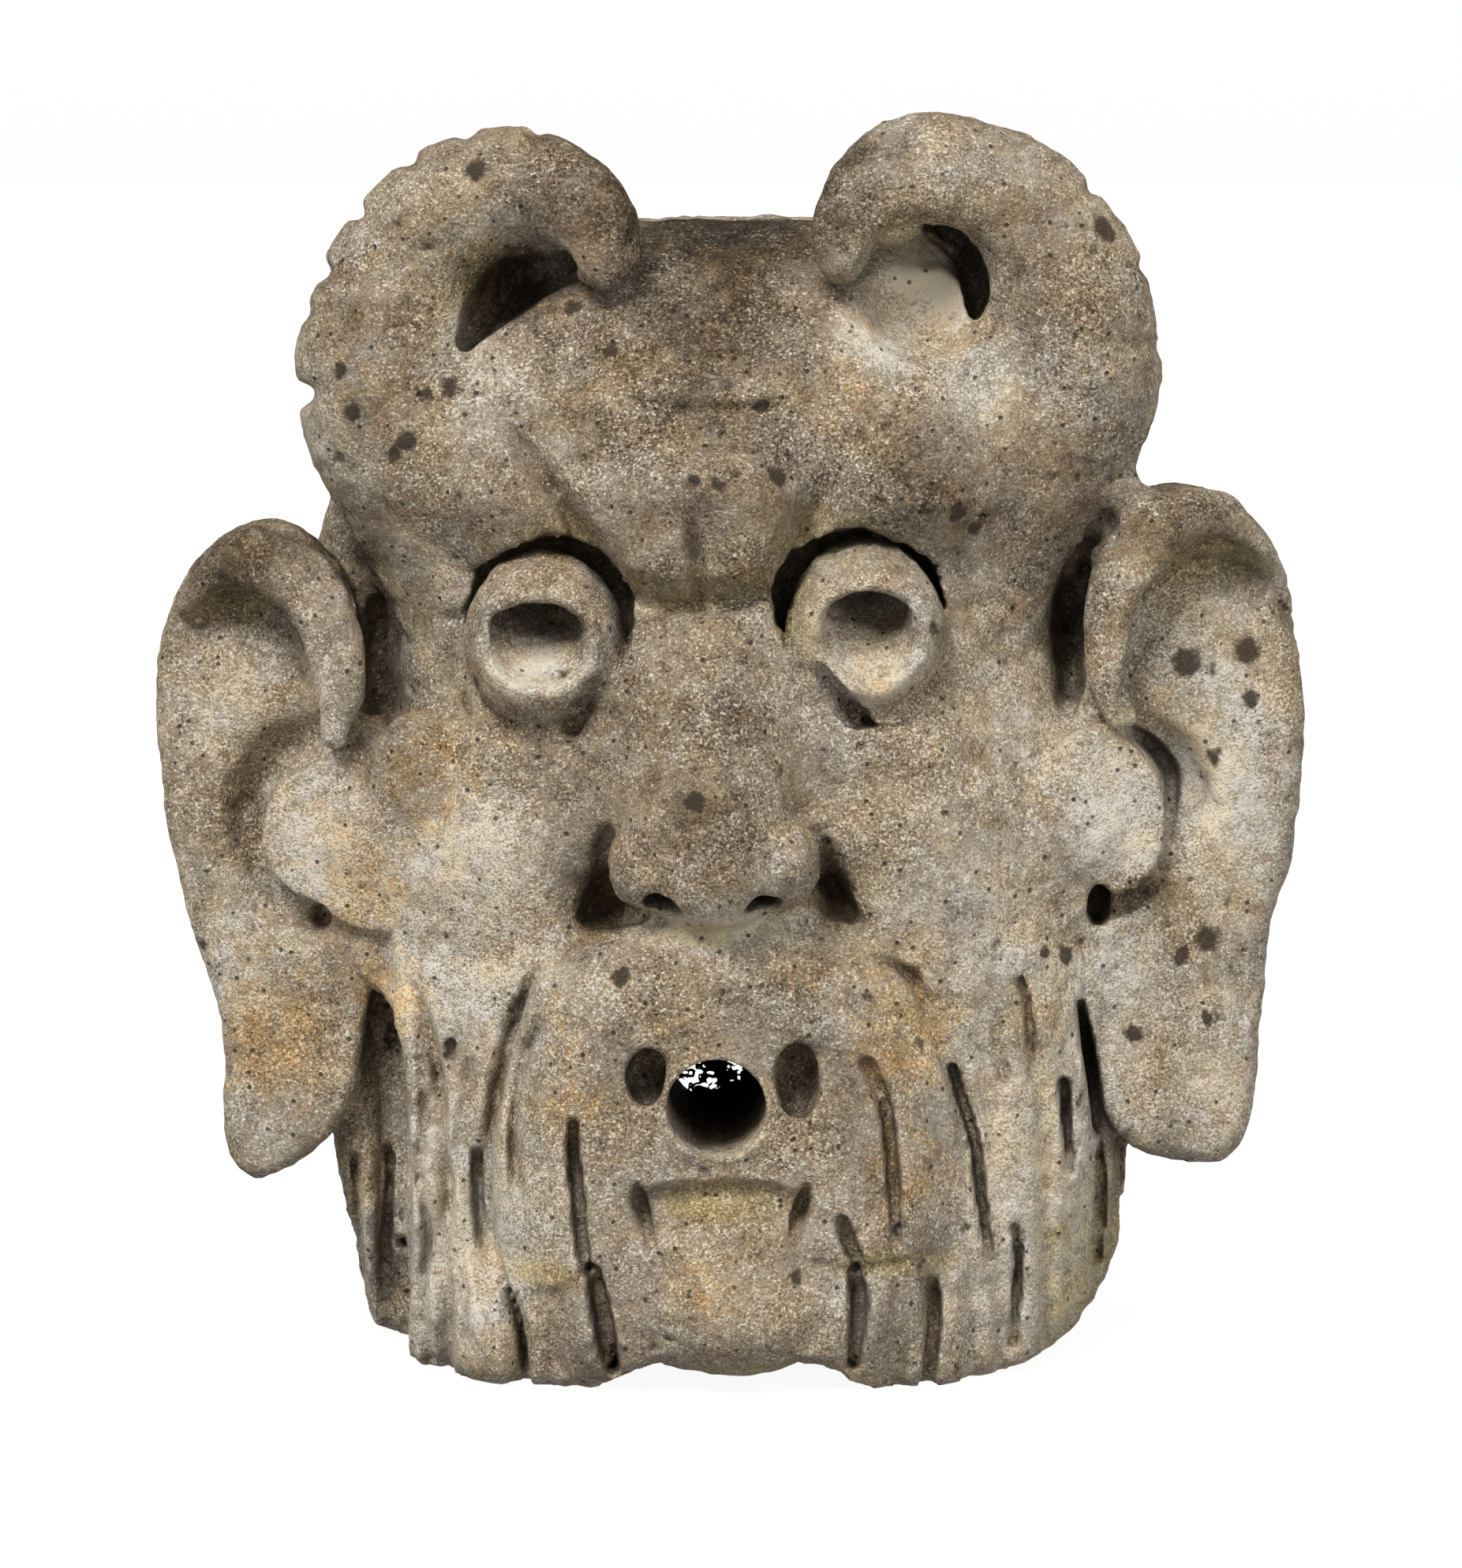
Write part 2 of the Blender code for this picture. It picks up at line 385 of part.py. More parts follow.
def beard(stone):
    """Locks of beard, parted by steps, by valleys and one rib, and by slots cut with the drill."""
    steps = (
        ([(-141, 153, 8, 4), (-131, 136, 11, 13), (-128, 120, 12, 17), (-126, 96, 12, 18), (-125, 69, 12, 17),
          (-126, 34, 12, 15), (-129, -4, 12, 13)], -0.8),
        ([(-120, 154, 4, 2), (-115, 139, 6, 6), (-111, 118, 6, 10), (-110, 96, 7, 7), (-107, 74, 6, 10),
          (-109, 50, 7, 7), (-107, 24, 6, 10), (-109, -6, 7, 12)], -0.6),
        ([(-72, 163, 3.5, 3), (-76, 154, 4, 6), (-83, 134, 4.5, 7), (-88, 111, 5, 9), (-91, 94, 5, 10),
        (-91, 76, 5, 10), (-89, 54, 5.5, 10), (-84, 38, 6, 10), (-79, 22, 6, 11),
          (-76, -4, 6, 14)], -0.7),
        ([(60, 168, 4, 3), (74, 160, 5, 8), (81, 144, 6, 6), (86, 131, 6, 5), (90, 119, 6, 4), (94, 100, 6, 3),
          (98, 70, 6, 1)], 0.6),
    )
    valleys = (
        [(-70, 160, 3, -2), (-74, 150, 3.5, -4), (-80, 130, 4, -5), (-85, 104, 4, -5), (-86, 80, 4, -4),
         (-85, 58, 3.5, -2)],
        [(-77, 136, 3, 3), (-81, 119, 4, 5), (-82, 99, 4, 5), (-80, 84, 4, 5), (-77, 66, 4, 1)],
        [(-100, 126, 5, 3), (-99, 96, 6, 6), (-97, 76, 7, 8), (-95, 56, 7, 7), (-92, 20, 5, 3)],
        [(-120, 126, 3, 2), (-118, 104, 4, 5), (-120, 82, 4, 3), (-117, 56, 4, 6), (-119, 30, 4, 4),
        (-117, 4, 5, 6)],
        [(-103, 112, 3, 1), (-104, 92, 4, 4), (-102, 66, 4, 2), (-103, 44, 4, 4), (-101, 18, 4, 3)],
        [(-136, 104, 4, 2), (-135, 76, 5, 5), (-137, 40, 4, 4), (-136, -4, 5, 8)],
        [(-148, 80, 4, 3), (-147, 40, 4, 3), (-146, -4, 4, 4)],
        [(101, 150, 6, 2), (107, 110, 7, 3), (110, 60, 7, 2), (112, 0, 6, 3)],
        [(126, 130, 5, 2), (129, 70, 6, 3), (130, 10, 5, 4)],
        [(-77, 34, 3, 2), (-70, 38, 4, 3), (-63, 40, 4, 3), (-57, 44, 4, 3), (-51, 51, 3, 2)],
        [(36, 53, 3, 2), (50, 50, 4, 3), (63, 51, 4, 3), (80, 53, 3, 1)],
        [(-62, 66, 6, 2), (-64, 42, 7, 2), (-66, 10, 8, 3)],
        [(68, 60, 8, 2), (68, 26, 8, 3), (69, -2, 8, 5)],
        [(98, 40, 7, 2), (99, 10, 7, 4), (99, -4, 7, 5)],
    )
    slots = (
        [(-58, 106, 3.2, 7), (-58, 94, 3.5, 13), (-56, 76, 3.5, 13), (-55, 63, 3.5, 12), (-53, 50, 3.2, 7)],
        [(-50, 49, 3.7, 8), (-48, 38, 4.5, 16), (-45, 22, 5, 16), (-43, 11, 4.5, 8)],
        [(-97, 90, 3, 3), (-97, 84, 3.2, 5), (-97, 72, 2.8, 4), (-95, 54, 2.5, 2)],
        [(-82, 36, 2.7, 5), (-78, 24, 3.2, 8), (-76, 8, 3.5, 6)],
        [(-107, 133, 3.2, 7), (-107, 129, 3.2, 7)],
        [(57, 130, 4, 5), (62, 119, 4, 7), (65, 107, 3.5, 10), (67, 86, 3.5, 10), (68, 68, 3, 6),
        (69, 56, 2.7, 1)],
        [(47, 69, 3.5, 6), (50, 60, 4, 10), (54, 52, 3.2, 6)],
        [(52, 48, 4, 10), (54, 37, 4.7, 16), (53, 24, 4.2, 12), (52, 13, 4, 7)],
        [(91, 125, 2.6, 6), (94, 115, 2.7, 9), (98, 103, 2.8, 10), (101, 90, 2.8, 11), (102, 78, 3, 11),
         (104, 64, 2.8, 9), (106, 48, 2.4, 5)],
        [(82, 42, 3.7, 7), (83, 34, 4.2, 12), (83, 18, 3.7, 10), (81, -2, 4, 10)],
        [(116, 60, 2.3, 4), (118, 46, 2.5, 7), (117, 30, 2.6, 7), (116, 12, 2.4, 4)],
        [(136, 116, 3, 6), (137, 104, 2.8, 8), (138, 90, 2.5, 6), (139, 80, 2.2, 3)],
        [(108, 147, 2.7, 1), (109, 134, 3, 4), (112, 120, 3, 4)],
        [(118, 158, 2.5, 4), (121, 148, 2.5, 5), (122, 135, 2.5, 5), (123, 120, 2.2, 2)],
        [(152, 84, 3.2, 3), (153, 60, 3.5, 5), (152, 38, 3, 3)],
        [(161, 86, 3, 2), (160, 60, 3.2, 4), (158, 36, 3, 2)],
    )
    stone.plateau((-68, 8), (46, 52), 10, edge=0.7)
    stone.plateau((-100, 0), (34, 60), 8, edge=0.7)
    stone.plateau((74, 8), (36, 54), 8, edge=0.7)
    stone.engrave([(143, 146, 3, 5), (146, 130, 4, 9), (149, 112, 4, 8), (151, 94, 4, 4)], soft=0.8, behind=10)
    for knots, lean in steps:
        stone.engrave(knots, lean=lean, behind=15)
    for knots in valleys:
        stone.engrave(knots, behind=10)
    for knots in slots:
        stone.engrave(knots, soft=0.45, behind=10)


def sides(stone):
    """The block behind the beard stands back from it at both sides."""
    for low, high, reach in (((-200, -200, -60), (-142, -34, 150), 14), ((153, -200, -60), (220, -24, 146), 8)):
        cut, x, y, z = stone.window([a - 14 for a in low], [b + 14 for b in high])
        inside = np.maximum(np.maximum(low[0] - x, x - high[0]), np.maximum(y - high[1], z - high[2]))
        stone.merge(cut, inside, reach, -1)


def wear(stone):
    """The broken lower edge on the right, where the block has crumbled, and the worn edge all round the foot."""
    cut, x, y, z = stone.window((60, -140, -12), (185, 118, 70))
    stone.merge(cut, 0.7 * (137 + 0.15 * y - x + z), 10, -1)
    cut, x, y, z = stone.window((-260, -160, -12), (260, 118, 30))
    stone.merge(cut, z + 1.5 + 0 * x + 0 * y, 12, -1)


def carve():
    """The whole carving, as a field."""
    stone = Stone(BLOCK_LOW, BLOCK_HIGH, STEP)
    head(stone)
    cheeks(stone)
    brow(stone)
    nose(stone)
    frown(stone)
    muzzle(stone)
    eyes(stone)
    sides(stone)
    ears(stone)
    beard(stone)
    horns(stone)
    wear(stone)
    return stone


def stone_material():
    """Plain beige stone."""
    material = bpy.data.materials.new("carved limestone")
    material.use_nodes = True
    shader = material.node_tree.nodes["Principled BSDF"]
    shader.inputs["Base Color"].default_value = (0.36, 0.32, 0.25, 1)
    shader.inputs["Roughness"].default_value = 0.9
    return material


def mesh_object(name, points, faces):
    """A mesh object in the scene from points and faces."""
    mesh = bpy.data.meshes.new(name)
    mesh.from_pydata([tuple(p) for p in points], [], [tuple(f) for f in faces])
    made = bpy.data.objects.new(name, mesh)
    bpy.context.scene.collection.objects.link(made)
    return made


def block_of(stone, name):
    """The carving as one closed mesh, in metres."""
    grid = openvdb.FloatGrid(FAR)
    grid.copyFromArray(np.ascontiguousarray(stone.field))
    points, faces = grid.convertToQuads(0.0)
    return mesh_object(name, ((points * stone.step + stone.low) * PART).tolist(), faces.tolist())


def box_cutter(name, low, high):
    """A box, as a cutter."""
    (a, b, c), (d, e, f) = low, high
    corners = [(x, y, z) for z in (c, f) for x, y in ((a, b), (d, b), (d, e), (a, e))]
    sides = [(3, 2, 1, 0), (4, 5, 6, 7), (0, 1, 5, 4), (1, 2, 6, 5), (2, 3, 7, 6), (3, 0, 4, 7)]
    return mesh_object(name, corners, sides)


def bore_cutter(name, rings, sides=32):
    """A turned cutter along Y, from (y, radius) pairs, at the spout's height."""
    points, faces = [], []
    for y, radius in rings:
        for i in range(sides):
            turn = 2 * math.pi * i / sides
            points.append((SPOUT_X + radius * math.cos(turn), y, SPOUT_HEIGHT + radius * math.sin(turn)))
    for ring in range(len(rings) - 1):
        for i in range(sides):
            a, b = ring * sides + i, ring * sides + (i + 1) % sides
            faces.append((a, a + sides, b + sides, b))
    faces.append(tuple(range(sides)))
    faces.append(tuple(reversed(range(len(points) - sides, len(points)))))
    return mesh_object(name, points, faces)


def take_away(target, cutter):
    """Cuts one mesh from another, for good."""
    cutter.hide_render = True
    cutter.display_type = "WIRE"
    modifier = target.modifiers.new(cutter.name, "BOOLEAN")
    modifier.operation = "DIFFERENCE"
    modifier.solver = "EXACT"
    modifier.object = cutter


def main():
    for item in list(bpy.data.objects):
        bpy.data.objects.remove(item)
    block = block_of(carve(), "carved_stone_mask")
    block.data.materials.append(stone_material())
    fewer = block.modifiers.new("fewer faces", "DECIMATE")
    fewer.ratio = FACES / (2 * len(block.data.polygons))
    take_away(block, box_cutter("behind the back", (-0.4, BACK_Y, -0.1), (0.4, 0.3, 0.7)))
    take_away(block, box_cutter("below the underside", (-0.4, -0.3, -0.2), (0.4, 0.4, 0.0)))
    take_away(block, bore_cutter("spout bore", (
        (-0.3, SPOUT_BORE / 2), (BACK_Y - SOCKET_DEPTH, SPOUT_BORE / 2),
        (BACK_Y - SOCKET_DEPTH, SOCKET_BORE / 2), (BACK_Y + 0.05, SOCKET_BORE / 2))))


main()
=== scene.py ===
"""The looks of a carved limestone fountain mask: the same carving as the model's solid, worked much finer,
weathered and pitted, in stained and lichened stone, with painted shade in its crevices, holes and bore and
painted light on a few shaded faces, on a plain pale floor under soft light.

Metres, +Z up, the face looking along -Y, as in the model. The carving is set out in parts of a millimetre.
"""

import math

import bpy
import numpy as np
import openvdb
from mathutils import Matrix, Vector
from mathutils.bvhtree import BVHTree


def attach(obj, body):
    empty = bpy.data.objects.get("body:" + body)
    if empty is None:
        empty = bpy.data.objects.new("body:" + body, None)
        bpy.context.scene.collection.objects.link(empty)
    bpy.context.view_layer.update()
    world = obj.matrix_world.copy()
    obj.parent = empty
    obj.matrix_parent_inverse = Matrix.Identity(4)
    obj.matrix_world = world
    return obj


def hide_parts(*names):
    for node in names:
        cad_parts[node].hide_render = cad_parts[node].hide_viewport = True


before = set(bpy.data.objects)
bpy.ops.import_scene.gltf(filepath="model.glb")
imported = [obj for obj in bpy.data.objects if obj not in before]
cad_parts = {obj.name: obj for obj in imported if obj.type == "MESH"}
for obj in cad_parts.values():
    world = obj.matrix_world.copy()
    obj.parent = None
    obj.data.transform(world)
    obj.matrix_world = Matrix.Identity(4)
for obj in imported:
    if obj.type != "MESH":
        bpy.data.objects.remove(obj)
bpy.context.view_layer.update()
NODE = "carved_stone_mask"

# The solid's own sizes, in metres
HEIGHT = 0.500
BACK_Y = 0.105
SPOUT_BORE = 0.039
SPOUT_X = -0.002
SPOUT_HEIGHT = 0.114
SOCKET_BORE = 0.062
SOCKET_DEPTH = 0.070

# How finely the block is worked
PARTS = 500
PART = HEIGHT / PARTS
STEP = 1.5  # grid spacing of the carving, in parts
FACES = 184000  # triangles kept on the carved block
CRUST_STEP = 0.6
CRUST_FACES = 12000  # and on what is caked in its bore
HOLES = 900  # small holes worn in the stone
FAR = 60.0  # beyond this distance the field only says outside, in parts

BLOCK_LOW = (-250, -160, -12)
BLOCK_HIGH = (255, 118, 512)


def rotation(turn):
    """Rotation matrix for turns about X, then Y, then Z, in degrees."""
    a, b, c = (math.radians(t) for t in turn)
    about_x = np.array([[1, 0, 0], [0, math.cos(a), -math.sin(a)], [0, math.sin(a), math.cos(a)]])
    about_y = np.array([[math.cos(b), 0, math.sin(b)], [0, 1, 0], [-math.sin(b), 0, math.cos(b)]])
    about_z = np.array([[math.cos(c), -math.sin(c), 0], [math.sin(c), math.cos(c), 0], [0, 0, 1]])
    return about_z @ about_y @ about_x


def smooth_line(knots, steps=6):
    """Points along a Catmull-Rom curve through the knots, whatever a knot holds: place, radius or width."""
    knots = np.array(knots, float)
    ends = np.vstack([2 * knots[0] - knots[1], knots, 2 * knots[-1] - knots[-2]])
    share = np.linspace(0, 1, steps, endpoint=False)[:, None]
    runs = []
    for a, b, c, d in zip(ends, ends[1:], ends[2:], ends[3:]):
        runs.append(0.5 * (2 * b + (c - a) * share + (2 * a - 5 * b + 4 * c - d) * share**2
                           + (3 * b - a - 3 * c + d) * share**3))
    return np.vstack(runs + [knots[-1:]])


def ease(value):
    """0 to 1 with soft ends."""
    value = np.clip(value, 0, 1)
    return value * value * (3 - 2 * value)


class Stone:
    """The block as a field of signed distance, negative in the stone, on a grid set out in parts."""

    def __init__(self, low, high, step):
        self.low = np.array(low, float)
        self.step = step
        self.axes = [np.arange(a, b, step, dtype=np.float32) for a, b in zip(low, high)]
        self.field = np.full([len(a) for a in self.axes], FAR, np.float32)

    def window(self, low, high):
        """The part of the grid inside a box, and its coordinates, ready to broadcast."""
        cut = tuple(slice(*np.searchsorted(axis, ends)) for axis, *ends in zip(self.axes, low, high))
        x, y, z = (axis[c] for axis, c in zip(self.axes, cut))
        return cut, x[:, None, None], y[None, :, None], z[None, None, :]

    def merge(self, cut, shape, blend, sign):
        """Adds (sign 1) or takes away (sign -1) a shape, with a fillet about as wide as blend."""
        old = self.field[cut] * sign
        new = np.minimum(old, shape)
        if blend:
            near = np.maximum(blend - np.abs(old - shape), 0) / blend
            new -= near * near * blend / 4
        self.field[cut] = new * sign

    def ellipsoid(self, centre, radii, turn=(0, 0, 0), blend=0.0, sign=1):
        """Adds or takes away an ellipsoid."""
        centre, radii = np.array(centre, float), np.array(radii, float)
        turned = rotation(turn).T
        reach = np.abs(turned.T) @ radii + blend + 12
        cut, x, y, z = self.window(centre - reach, centre + reach)
        x, y, z = x - centre[0], y - centre[1], z - centre[2]
        inner = outer = 0
        for row, radius in zip(turned, radii):
            along = np.float32(row[0]) * x + np.float32(row[1]) * y + np.float32(row[2]) * z
            inner = inner + (along / radius) ** 2
            outer = outer + (along / radius**2) ** 2
        inner = np.sqrt(inner)
        self.merge(cut, inner * (inner - 1) / np.sqrt(outer + 1e-9), blend, sign)

    def tube(self, knots, blend=0.0, sign=1, squash=(1, 1, 1), steps=6):
        """Adds or takes away a tapering tube through knots of x, y, z, radius. Squash flattens it."""
        line = smooth_line(knots, steps)
        scale = np.array(squash, float)
        reach = line[:, 3].max() * scale.max() + blend + 12
        cut, x, y, z = self.window(line[:, :3].min(0) - reach, line[:, :3].max(0) + reach)
        nearest = np.full(self.field[cut].shape, FAR, np.float32)
        for a, b in zip(line, line[1:]):
            near = max(a[3], b[3]) * scale.max() + blend + 12
            low = np.minimum(a[:3], b[:3]) - near
            high = np.maximum(a[:3], b[:3]) + near
            piece = tuple(slice(np.searchsorted(axis.ravel(), p), np.searchsorted(axis.ravel(), q))
                          for axis, p, q in zip((x, y, z), low, high))
            px, py, pz = (axis[tuple(piece[i] if i == j else slice(None) for j in range(3))] / scale[i]
                          for i, axis in enumerate((x, y, z)))
            start, end = a[:3] / scale, b[:3] / scale
            run = end - start
            length = max(float(run @ run), 1e-6)
            ax, ay, az = px - start[0], py - start[1], pz - start[2]
            share = np.clip((ax * run[0] + ay * run[1] + az * run[2]) / length, 0, 1)
            away = np.sqrt(sum((p - share * q) ** 2 for p, q in zip((ax, ay, az), run)))
            away = (away - (a[3] + share * (b[3] - a[3]))) * scale.min()
            nearest[piece] = np.minimum(nearest[piece], away)
        self.merge(cut, nearest, blend, sign)

    def leaf(self, outline, middle_y, half_thickness, edge, blend=0.0):
        """Adds a slab with a rounded rim, from knots of x, z round its outline in the front view.
        Middle_y is a function of x and z, so the slab can curve."""
        closed = np.array([*outline, outline[0]], float)
        around = np.vstack([closed[-2], closed, closed[1]])
        line = smooth_line(around, 5)[5:-5]
        reach = blend + 12
        low, high = line.min(0) - reach, line.max(0) + reach
        cut, x, y, z = self.window((low[0], self.low[1], low[1]), (high[0], 1e4, high[1]))
        nearest = np.full((x.shape[0], 1, z.shape[2]), 1e9, np.float32)
        inside = np.zeros(nearest.shape, bool)
        for (ax, az), (bx, bz) in zip(line, line[1:]):
            run_x, run_z = bx - ax, bz - az
            length = max(run_x**2 + run_z**2, 1e-6)
            share = np.clip(((x - ax) * run_x + (z - az) * run_z) / length, 0, 1)
            nearest = np.minimum(nearest, (x - ax - share * run_x) ** 2 + (z - az - share * run_z) ** 2)
            if abs(run_z) > 1e-9:
                inside ^= ((az > z) != (bz > z)) & (x < ax + (z - az) * run_x / run_z)
        flat = np.sqrt(nearest) * np.where(inside, -1, 1).astype(np.float32) + edge
        deep = np.abs(y - middle_y(x, z)) - half_thickness + edge
        shape = np.sqrt(np.maximum(flat, 0) ** 2 + np.maximum(deep, 0) ** 2)
        self.merge(cut, shape + np.minimum(np.maximum(flat, deep), 0) - edge, blend, 1)

    def engrave(self, knots, soft=1.0, lean=0.0, behind=-20.0):
        """Sinks a groove into whatever faces the front, along knots of x, z, half-width, depth. A negative
        depth raises a ridge. Soft is 1 for a worn valley and under 1 for a steep-sided, drilled channel.
        Lean, from -1 to 1, widens it on the left or the right of its way and narrows it on the other side."""
        line = smooth_line(knots, 5)
        reach = line[:, 2].max() * (1 + abs(lean)) + self.step
        low, high = line[:, :2].min(0) - reach, line[:, :2].max(0) + reach
        cut, x, y, z = self.window((low[0], self.low[1], low[1]), (high[0], behind, high[1]))
        depth = np.zeros((x.shape[0], 1, z.shape[2]), np.float32)
        for a, b in zip(line, line[1:]):
            run = b[:2] - a[:2]
            length = max(float(run @ run), 1e-6)
            share = np.clip(((x - a[0]) * run[0] + (z - a[1]) * run[1]) / length, 0, 1)
            away = np.sqrt((x - a[0] - share * run[0]) ** 2 + (z - a[1] - share * run[1]) ** 2)
            side = np.sign(run[0] * (z - a[1]) - run[1] * (x - a[0]))
            width, deep = a[2] + share * (b[2] - a[2]), a[3] + share * (b[3] - a[3])
            width = np.maximum(width * (1 + lean * side), 0.9 * self.step)
            here = deep * ease((1 - away / width) / soft)
            depth = np.where(np.abs(here) > np.abs(depth), here, depth)
        self.field[cut] += depth * ease((behind - y) / 25)

    def plateau(self, centre, radii, height, edge=1.0, power=2.4, lean=0.0, fade=0.0, behind=-20.0):
        """Raises a patch seen from the front, or sinks it with a negative height. Edge is the share of its
        radius over which it falls away, so 1 gives a dome and 0.2 a flat patch with a step round it. Fade
        makes the upper part stronger than the lower."""
        reach = 1.3 * max(radii)
        cut, x, y, z = self.window((centre[0] - reach, self.low[1], centre[1] - reach),
                                   (centre[0] + reach, behind, centre[1] + reach))
        c, s = math.cos(math.radians(lean)), math.sin(math.radians(lean))
        across = ((x - centre[0]) * c + (z - centre[1]) * s) / radii[0]
        along = ((z - centre[1]) * c - (x - centre[0]) * s) / radii[1]
        share = ease((1 - (np.abs(across)**power + np.abs(along)**power) ** (1 / power)) / edge)
        share = share * (1 - fade + fade * np.clip(0.5 + along / 2, 0, 1))
        self.field[cut] -= height * share * ease((behind - y) / 25)


# The block: half-width, middle, front and squareness at each height, in parts
CORE_Z = (-12, 0, 60, 100, 150, 200, 240, 290, 322, 350, 385, 408, 425, 442, 460, 512)
CORE_HALF_WIDTH = (149, 152, 161.5, 164.5, 157, 146, 142, 140, 144, 151, 157, 154, 145, 131, 115, 96)
CORE_MIDDLE_X = (7, 7, 4.5, 3.5, 4, 4, 4, 3, 2, 1, 1, 2, 3, 3, 3, 3)
CORE_FRONT_Y = (-104, -105, -104, -100, -92, -88, -86, -84, -88, -94, -88, -78, -68, -54, -36, 10)
CORE_SQUARE = (2.2, 2.25, 2.5, 2.8, 3.2, 3.3, 3.0, 2.7, 2.5, 2.4, 2.4, 2.4, 2.4, 2.4, 2.4, 2.4)
CORE_WIDEST_Y = 25
CROWN_Z = 458
CROWN_FALL = 0.0007  # how fast the crown drops to the sides


def head(stone):
    """The block of the head: a rounded front on a straight-sided back, under a low crown."""
    cut, x, y, z = stone.window((-1e4,) * 3, (1e4,) * 3)
    width, middle, front, power = (np.interp(z, CORE_Z, row).astype(np.float32)
                                   for row in (CORE_HALF_WIDTH, CORE_MIDDLE_X, CORE_FRONT_Y, CORE_SQUARE))
    across = np.abs(x - middle) / width
    forward = np.maximum(CORE_WIDEST_Y - y, 0) / (CORE_WIDEST_Y - front)
    side = ((across**power + forward**power) ** (1 / power) - 1) * np.minimum(width, CORE_WIDEST_Y - front)
    crown = z - CROWN_Z + CROWN_FALL * (x - 3) ** 2
    blend = 40.0
    near = np.maximum(blend - np.abs(side - crown), 0) / blend
    stone.field[cut] = np.maximum(side, crown) + near * near * blend / 4


def horns(stone):
    """Ram's horns that swell out of the temples, curl up and in, and end on the brow over a pocket."""
    curls = (
        ((-112, -20, 340, 28), (-129, -32, 374, 36), (-134, -38, 402, 34), (-131, -42, 427, 31),
         (-116, -44, 453, 29), (-92, -48, 469, 26), (-68, -55, 469, 22.5), (-51, -62, 457, 18.5),
         (-46, -66, 444, 14.5)),
        ((112, -20, 345, 27), (133, -32, 376, 35), (140, -38, 402, 35), (136, -42, 430, 33),
         (120, -45, 458, 30), (97, -49, 471, 28), (75, -54, 474, 25), (58, -60, 466, 20),
         (50, -65, 453, 15.5), (49, -68, 444, 12)))
    for curl in curls:
        stone.tube(curl[:4], blend=26)
        stone.tube(curl[2:], blend=5)
    for x in (-86, 88):
        stone.ellipsoid((x, 30, 414), (54, 44, 48), blend=20)
        stone.ellipsoid((x, 18, 440), (46, 34, 34), blend=12)
    stone.tube([(-100, -54, 410, 4), (-92, -50, 423, 8), (-79, -48, 434, 10.5), (-64, -50, 440, 8)],
               sign=-1, blend=2.5, squash=(1, 3.2, 1))
    stone.ellipsoid((80, -77, 430), (27, 37, 28), sign=-1, blend=5)
    stone.tube([(64, -42, 449, 3.5), (70, -40, 453, 6), (79, -36, 455, 6), (88, -34, 452, 7.5),
                (97, -34, 444, 7), (101, -36, 432, 5.5), (100, -42, 421, 3)], sign=-1, blend=2,
               squash=(1, 4, 1))
    notches = (
        ((-84, 425),
         ((-165, 389, 4), (-167, 421, 2.5), (-159, 438, 3.5), (-144, 461, 2.5), (-124, 483, 3.5),
          (-101, 494, 3), (-72, 495, 2.5))),
        ((88, 430), ((177, 406, 2), (169, 440, 2.5), (147, 471, 2))))
    for (cx, cz), places in notches:
        for x, z, size in places:
            out = math.hypot(x - cx, z - cz)
            dx, dz = (x - cx) / out, (z - cz) / out
            stone.tube([(x + 2 * dx, -80, z + 2 * dz, size), (x + 2 * dx, 10, z + 2 * dz, size)],
                       sign=-1, blend=4)
            stone.engrave([(x, z, 5, 1.6), (x - 18 * dx, z - 18 * dz, 6, 1),
                           (x - 34 * dx, z - 34 * dz, 6, 0)])


def brow(stone):
    """The frown: masses over the eyes, folds running down to the nose, and flesh between them."""
    stone.plateau((-90, 350), (60, 40), 11, lean=-14)
    stone.plateau((80, 358), (58, 40), 10, lean=10)
    stone.plateau((-10, 340), (46, 38), 12, edge=0.5, power=2.8)
    stone.plateau((-8, 398), (80, 24), 5)
    stone.engrave([(-84, 374, 6, 4), (-73, 362, 7, 10), (-60, 343, 8, 12), (-47, 324, 9, 9)], lean=0.3)
    stone.engrave([(54, 376, 7, 2), (44, 358, 9, 8), (34, 340, 10, 11), (25, 320, 9, 9)], lean=-0.3)
    stone.engrave([(-13, 356, 4, 2), (-11, 338, 5, 6), (-9, 320, 5, 10), (-9, 306, 5, 9)])
    crease = [(-36, 388, 3, 2), (-20, 385.5, 4, 4), (0, 384.5, 4, 4), (16, 385, 4, 4), (27, 388, 3, 2)]
    stone.engrave(crease, lean=0.3)


def frown(stone):
    """The crease where the nose begins, tucked in under the brow."""
    crease = [(-40, 314, 8, 4), (-28, 309, 9, 8), (-9, 306.5, 10, 10), (8, 308, 9, 8), (19, 313, 8, 4)]
    stone.engrave(crease, lean=0.7)


